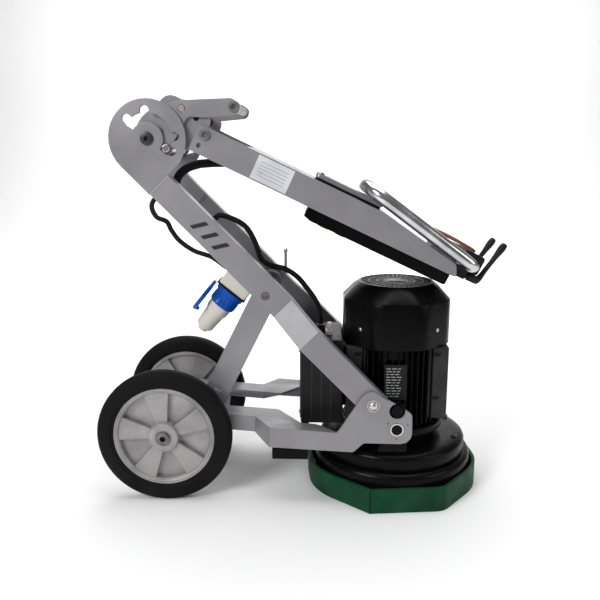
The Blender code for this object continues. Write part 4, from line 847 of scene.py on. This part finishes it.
# %% Brown pad on the switch box
pad = slab([(0.5352, 0.0697), (0.560, 0.0688), (0.606, 0.0671), (0.6185, 0.0664), (0.6188, 0.0705),
            (0.612, 0.0722), (0.585, 0.0742), (0.560, 0.0748), (0.5405, 0.0744), (0.5352, 0.0728)], 0.060)
ease(pad, 0.0016, 3, 50)
stand = Matrix(((1, 0, 0, 0), (0, 0, -1, 0.030), (0, 1, 0, 0), (0, 0, 0, 1)))
make("pad_moulding", moved(pad, HANDLE @ stand), "brown_pad", "paddle", ("paddle",), 50)
print("pad on the switch box")

# %% [markdown]
# ## Mains inlet
# The ivory inlet hangs under the beams with a blue threaded collar, a blue spring lid that is
# held open by the plug, and an ivory plug with a ribbed grip.

# %% Inlet, collar and plug
INLET = Matrix((( -0.77715, 0, -0.62932, -0.1215 + DATUM), (0, 1, 0, -0.020), (0.62932, 0, -0.77715, 0.3870),
                (0, 0, 0, 1)))
c0, c1 = 0.0113, 0.0453
collar = [(0.0186, c1), (0.0240, c1), (0.0254, c1 - 0.001), (0.0254, c1 - 0.010), (0.0246, c1 - 0.011),
          (0.0246, c1 - 0.013), (0.0254, c1 - 0.014), (0.0254, c0 + 0.012), (0.0286, c0 + 0.009),
          (0.0289, c0 + 0.001),
          (0.0280, c0), (0.0186, c0)]
lugs = []
for i in range(20):
    lug = block((0.0250, -0.0014, c0 + 0.0150), (0.0262, 0.0014, c1 - 0.0030), 0.0004, 1)
    lugs.append(moved(lug, Matrix.Rotation(math.tau * i / 20, 4, "Z")))
make("inlet_collar_moulding", moved(joined(spun(collar, 72, ring=True), *lugs), INLET), "blue_plastic",
     "chassis",
     ("inlet_collar",), 40)
p1 = 0.1033
plug = [(0.0, p1 + 0.0058), (0.0075, p1 + 0.0056), (0.0094, p1 + 0.0046), (0.0104, p1 + 0.0020),
        (0.0108, p1 - 0.0005),
        (0.0150, p1 - 0.0022), (0.0166, p1 - 0.0050)]
plug += [(0.0198 - 0.0003 * (k % 2) * 3 - 0.00018 * (12 - k), p1 - 0.0065 - 0.0026 * k) for k in range(13)]
plug += [(0.0212, c1 + 0.0170), (0.0224, c1 + 0.0120), (0.0224, c1 + 0.0012), (0.0216, c1 + 0.0009),
         (0.0174, c1 + 0.0009), (0.0174, c0 + 0.0042), (0.0, c0 + 0.0042)]
make("plug_moulding", moved(spun(plug, 72), INLET), "ivory_plastic", "plug", ("plug",), 40)
lid_u = 0.036
lid_disc = spun([(0.0, 0.0), (0.0262, 0.0), (0.0276, 0.0012), (0.0280, 0.0030), (0.0280, 0.0080),
                 (0.0262, 0.0080),
                 (0.0262, 0.0032), (0.0, 0.0032)], 64)
lid_disc = moved(lid_disc, Matrix.Translation((lid_u + 0.0045, 0,
                                               c0 + 0.046)) @ Matrix.Rotation(-math.pi / 2, 4, "Y"))
lid_arm = block((lid_u - 0.003, -0.010, c0 + 0.006), (lid_u + 0.004, 0.010, c0 + 0.030), 0.0012)
lid_catch = block((lid_u - 0.008, -0.004, c0 + 0.066), (lid_u - 0.001, 0.004, c0 + 0.072), 0.0010)
make("lid_moulding", moved(joined(lid_disc, lid_arm, lid_catch), INLET), "blue_plastic", "lid",
     ("inlet_lid",), 40)
print("plug reaches", round(p1 + 0.0058, 4), "m from the inlet's face")

# %% [markdown]
# ## Cables
# Four rubber cables run inside the frame. Each is a tube on a smooth curve through the same
# points as its solid, drawn as one plain tube.

# %% Cables
CABLES = {
    "inlet_cable": ([(-0.258, 0.030, 0.570), (-0.272, -0.030, 0.545), (-0.262, -0.048, 0.522),
                     (-0.243, -0.046, 0.512), (-0.236, -0.040, 0.495), (-0.222, -0.036, 0.475),
                     (-0.196, -0.032, 0.456), (-0.165, -0.028, 0.444), (-0.140, -0.020, 0.4235)], 0.0045),
    "harness_low": ([(-0.236, 0.0, 0.560), (-0.229, 0.0, 0.590), (-0.211, 0.0, 0.607),
                     (-0.186, 0.0, 0.6155)], 0.0080),
    "harness_high": ([(-0.1880, 0.0, 0.6151), (-0.160, 0.0, 0.6170), (-0.135, 0.0, 0.6175),
                      (-0.112, 0.0, 0.6200)], 0.0080),
    "motor_cable": ([(-0.165, -0.030, 0.500), (-0.150, -0.034, 0.522), (-0.125, -0.034, 0.517),
                     (-0.100, -0.032, 0.502), (-0.084, -0.026, 0.474), (-0.073, -0.018, 0.440),
                     (-0.055, -0.010, 0.426), (-0.029, -0.009, 0.4195), (-0.005, -0.009, 0.404),
                     (0.0146, -0.010, 0.381), (0.029, -0.010, 0.3605), (0.037, -0.010, 0.341),
                     (0.040, -0.010, 0.326), (0.040, -0.010, 0.3125)], 0.0052)}
for name, (points, radius) in CABLES.items():
    lead = make(f"{name}_lead", tube(smooth_route([drawn(*point) for point in points]), radius),
                "black_rubber",
                BODY_OF[name], (name,), 60)
    if name == "motor_cable":
        lead.parent = None
        lead.matrix_world = Matrix.Identity(4)
        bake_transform(lead)
print(len(CABLES), "cables")

# %% [markdown]
# The terminal case has a screwed cover on its side towards the wheels and shallow ribs on its
# flanks. Thin blocks laid on the case read as a moulding.

# %% Cover of the terminal case
case_low, case_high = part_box("terminal_case")
lid_plate = block((case_low.x - 0.0016, -0.064, case_low.z + 0.008),
                  (case_low.x + 0.0010, 0.064, case_high.z - 0.030), 0.0012)
rib_at = [block((case_low.x + 0.020 + 0.018 * k, side * 0.0722 - 0.0006, case_low.z + 0.012),
                (case_low.x + 0.0225 + 0.018 * k, side * 0.0722 + 0.0006, case_high.z - 0.034), 0.0005, 1)
          for k in range(3) for side in (-1, 1)]
make("case_cover", joined(lid_plate, *rib_at), "worn_paint", "head")
case_spots = [(Vector((case_low.x - 0.0015, y, z)), (-1, 0, 0)) for y in (-0.056, 0.056)
              for z in (case_low.z + 0.018, case_high.z - 0.040)]
put_screws("case_screws", socket_screw, 0.0032, 0.0016, case_spots, "dark_steel", "head")

# %% [markdown]
# The motor cable ends in a gland nut beside a pale clip, and a turned peg stands on the beam.

# %% Gland, clip and peg
gland = spun([(0.0, 0.0170), (0.0064, 0.0170), (0.0078, 0.0150), (0.0088, 0.0110), (0.0088, 0.0070),
              (0.0120, 0.0066), (0.0120, 0.0003), (0.0, 0.0003)], 48)
make("gland_nut", moved(gland, Matrix.Translation(drawn(0.040, -0.010,
                                                        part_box("terminal_case")[1].z - 0.0175))),
     "black_plastic", "head", (), 40)
clip_at = drawn(0.056, -0.022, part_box("terminal_case")[1].z - 0.0172)
clip = joined(block((-0.007, -0.012, 0.0), (0.007, 0.012, 0.0100), 0.0015),
              block((-0.003, -0.008, 0.0100), (0.0055, 0.008, 0.0240), 0.0015))
make("cable_clip", moved(clip, Matrix.Translation(clip_at)), "ivory_plastic", "head")
peg = [(0.0, 0.0520), (0.0026, 0.0515), (0.0040, 0.0490), (0.0044, 0.0440), (0.0034, 0.0400),
       (0.0034, 0.0), (0.0, 0.0)]
make("cable_peg", moved(spun(peg, 32), Matrix.Translation(drawn(-0.031, 0.074, 0.3960))), "bright_steel",
     "chassis")

# %% [markdown]
# ## Pins, bushes and bolts
# The turned steel keeps its exact shape, with eased rims. Bolt heads are added where the
# plates meet.


# %% Turned steel
def cross_bolt(name, half_length, head, shank, at, coat, body):
    """A bolt right across the machine with a round socketed head at each end."""
    half = [(0.0, half_length - 0.0030), (head * 0.42, half_length - 0.0030), (head * 0.48, half_length),
            (head * 0.84, half_length), (head * 0.96, half_length - 0.0008), (head, half_length - 0.0020),
            (head, half_length - 0.0032), (shank, half_length - 0.0033)]
    outline = half + [(radius, -height) for radius, height in reversed(half)]
    place = Matrix.Translation(at) @ Matrix.Rotation(-math.pi / 2, 4, "X")
    return make(f"{name}_turned", moved(spun(outline, 48), place), coat, body, (name,))


for name, head, shank in (("handle_bolt", 0.0095, 0.0049), ("release_grip", 0.0092, 0.0078)):
    at = middle(name)
    cross_bolt(name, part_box(name)[1].y, head, shank, at, "grey_steel", BODY_OF[name])
for name in ("pivot_bolt", "strut_tie", "lever_pin", "lock_pin", "cross_roller",
             "trunnion_bush_near", "trunnion_bush_far", "start_button", "stop_button", "grinding_disc"):
    eased_copy(name, 0.0005)
axle_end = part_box("axle")[1].y
half_axle = [(0.0, axle_end - 0.0120), (0.0052, axle_end - 0.0120), (0.0056, axle_end), (0.0105, axle_end),
             (0.0118, axle_end - 0.0006), (0.0125, axle_end - 0.0020), (0.0125, 0.1324), (0.0080, 0.1323),
             (0.0080, 0.1037), (0.0140, 0.1037), (0.0140, 0.0903), (0.0080, 0.0903)]
axle_outline = half_axle + [(radius, -height) for radius, height in reversed(half_axle)]
axle_place = Matrix.Translation(drawn(-0.247, 0, 0.125)) @ Matrix.Rotation(-math.pi / 2, 4, "X")
make("axle_turned", moved(spun(axle_outline, 48), axle_place), "grey_steel", "chassis", ("axle",))

# %% [markdown]
# Bolts in the frame's own plates have no node, so their heads are laid on the faces: a dome
# bolt on each arm, small screws round each bush, the strut bolts, and four screws on the panel.

# %% Bolt heads on the frame
for side_name, side in SIDES:
    out = Vector((0, side, 0))
    foot = drawn(0.135, side * 0.1365, 0.193)
    put_screws(f"foot_bolt_head_{side_name}", dome_screw, 0.0088, 0.0068, [(foot, out)], "bright_steel",
               "chassis")
    plate_spots = [(drawn(0.178 + dx, side * 0.1361, 0.148 + dz), out) for dx, dz in
                   ((-0.016, 0.012), (0.019, 0.010), (-0.001, -0.018))]
    put_screws(f"bush_screws_{side_name}", socket_screw, 0.0018, 0.0006, plate_spots, "dark_steel", "chassis")
    beam_spot = [(drawn(-0.0600, side * 0.0865, 0.3830), out)]
    put_screws(f"strut_bolt_{side_name}", socket_screw, 0.0072, 0.0042, beam_spot, "grey_steel", "chassis")
panel_spots = [(on_handle(u, y, 0.0740), HANDLE.to_3x3() @ Vector((0, 0, 1))) for u in (0.302, 0.413)
               for y in (-0.040, 0.040)]
put_screws("panel_screws", socket_screw, 0.0034, 0.0016, panel_spots, "dark_steel", "handle")
print("bolt heads placed")

# %% [markdown]
# ## Stickers and marks
# Bright foil stickers stand out on the frame, one on each cheek of the handle and one on each
# beam where it bends. The first carries faint bars and the second is blank. The beam's foil is
# the same foil made much darker, painted shade that holds back the key light its tilted face
# catches. A thin slab is used, not a texture, so the edge catches the light.

# %% Foil stickers
finish("foil", (0.74, 0.74, 0.79), 0.34, 0.35, tone=0.08, tone_size=26, grain=0.25, grain_size=260,
       scratch=0.5, dust=0.05, like="silver_paint")
# The same foil made much darker for the beams: painted shade against the key light on their tilted faces.
finish("painted_shade_foil", (0.27, 0.27, 0.285), 0.46, 0.25, tone=0.12, tone_size=30, grain=0.4, grain_size=240,
       dust=0.05, like="silver_paint")
finish("foil_print", (0.44, 0.44, 0.48), 0.45, 0.2, dust=0.0, like="silver_paint")


def sticker(name, corners, bars, body, coat="foil", lift=0.00025):
    """Thin foil on a flat face, given by four corners in order, with plain bars along it."""
    origin = corners[0]
    across = (corners[1] - origin)
    along = (corners[3] - origin)
    normal = across.cross(along).normalized()
    outward = normal if normal.y * corners[0].y > 0 else -normal
    basis = Matrix((across, along, outward)).transposed().to_4x4()
    basis.translation = origin
    sheet = slab([(0, 0), (1, 0), (1, 1), (0, 1)], lift)
    make(name, moved(sheet, basis), coat, body)
    rows = [slab([(low, a), (high, a), (high, b), (low, b)], lift * 0.5) for low, high, a, b in bars]
    if rows:
        raised = basis.copy()
        raised.translation = origin + outward * lift
        make(f"{name}_bars", moved(joined(*rows), raised), "foil_print", body)


HANDLE_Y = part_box("cheek_far")[1].y + 0.00005
BEAM_BEND = drawn(-0.0297, 0, 0.3613)
BEAM_SLOPE = math.radians(45.6)
down_beam = Vector((math.cos(BEAM_SLOPE), 0, -math.sin(BEAM_SLOPE)))
over_beam = Vector((math.sin(BEAM_SLOPE), 0, math.cos(BEAM_SLOPE)))


def on_beam(s, side, t):
    """A point on the beam's outer face: s down along it from the bend, t across it."""
    y = 0.090 + 0.040 * min(max(s / 0.072, 0), 1)
    return BEAM_BEND + down_beam * s + over_beam * t + Vector((0, side * (y + 0.00005), 0))


BARS = [(0.12, 0.88, 0.20 + 0.14 * k, 0.235 + 0.14 * k) for k in range(5)]
for side_name, side in SIDES:
    y = side * HANDLE_Y
    sticker(f"cheek_foil_{side_name}", [on_handle(0.1870, y, 0.0160), on_handle(0.2560, y, 0.0160),
                                        on_handle(0.2560, y, 0.0590), on_handle(0.1870, y, 0.0590)], BARS,
                                        "handle")
    # The beam foil takes the darker copy of the foil, which is painted shade.
    sticker(f"beam_foil_{side_name}", [on_beam(0.0012, side, -0.0225), on_beam(0.0708, side, -0.0225),
                                       on_beam(0.0708, side, 0.0225), on_beam(0.0012, side, 0.0225)], [],
                                       "chassis",
            "painted_shade_foil")
print("four foil stickers")

# %% [markdown]
# A weld bead runs where each lock plate joins its beam. It is a thin tube half sunk in the face.

# %% Weld beads where the lock plates join the beams
for side_name, side in SIDES:
    top_end = [on_beam(-0.3062, side, t) - Vector((0, side * 0.0012, 0)) for t in (-0.0225, -0.0110, 0.0,
                                                                                   0.0110, 0.0225)]
    make(f"weld_{side_name}", tube(smooth_route(top_end, 6), 0.0016), "silver_paint", "chassis")
print("two weld beads")

# %% [markdown]
# Three slanted bars stand where such a machine carries its mark, so no letter is needed.

# %% Three slanted bars on the beam
finish("mark_print", (0.008, 0.008, 0.009), 0.45, dust=0.05, like="silver_paint")
for side_name, side in SIDES:
    marks = []
    for k in range(3):
        s = -0.2200 + 0.0260 * k
        stroke = slab([(s, -0.0125), (s + 0.0085, -0.0125), (s + 0.0235, 0.0125), (s + 0.0150, 0.0125)],
                      0.0003)
        basis = Matrix((down_beam, over_beam, Vector((0, side, 0)))).transposed().to_4x4()
        basis.translation = BEAM_BEND + Vector((0, side * 0.09003, 0))
        marks.append(moved(stroke, basis))
    make(f"beam_bars_{side_name}", joined(*marks), "mark_print", "chassis")
print("three bars on each beam")
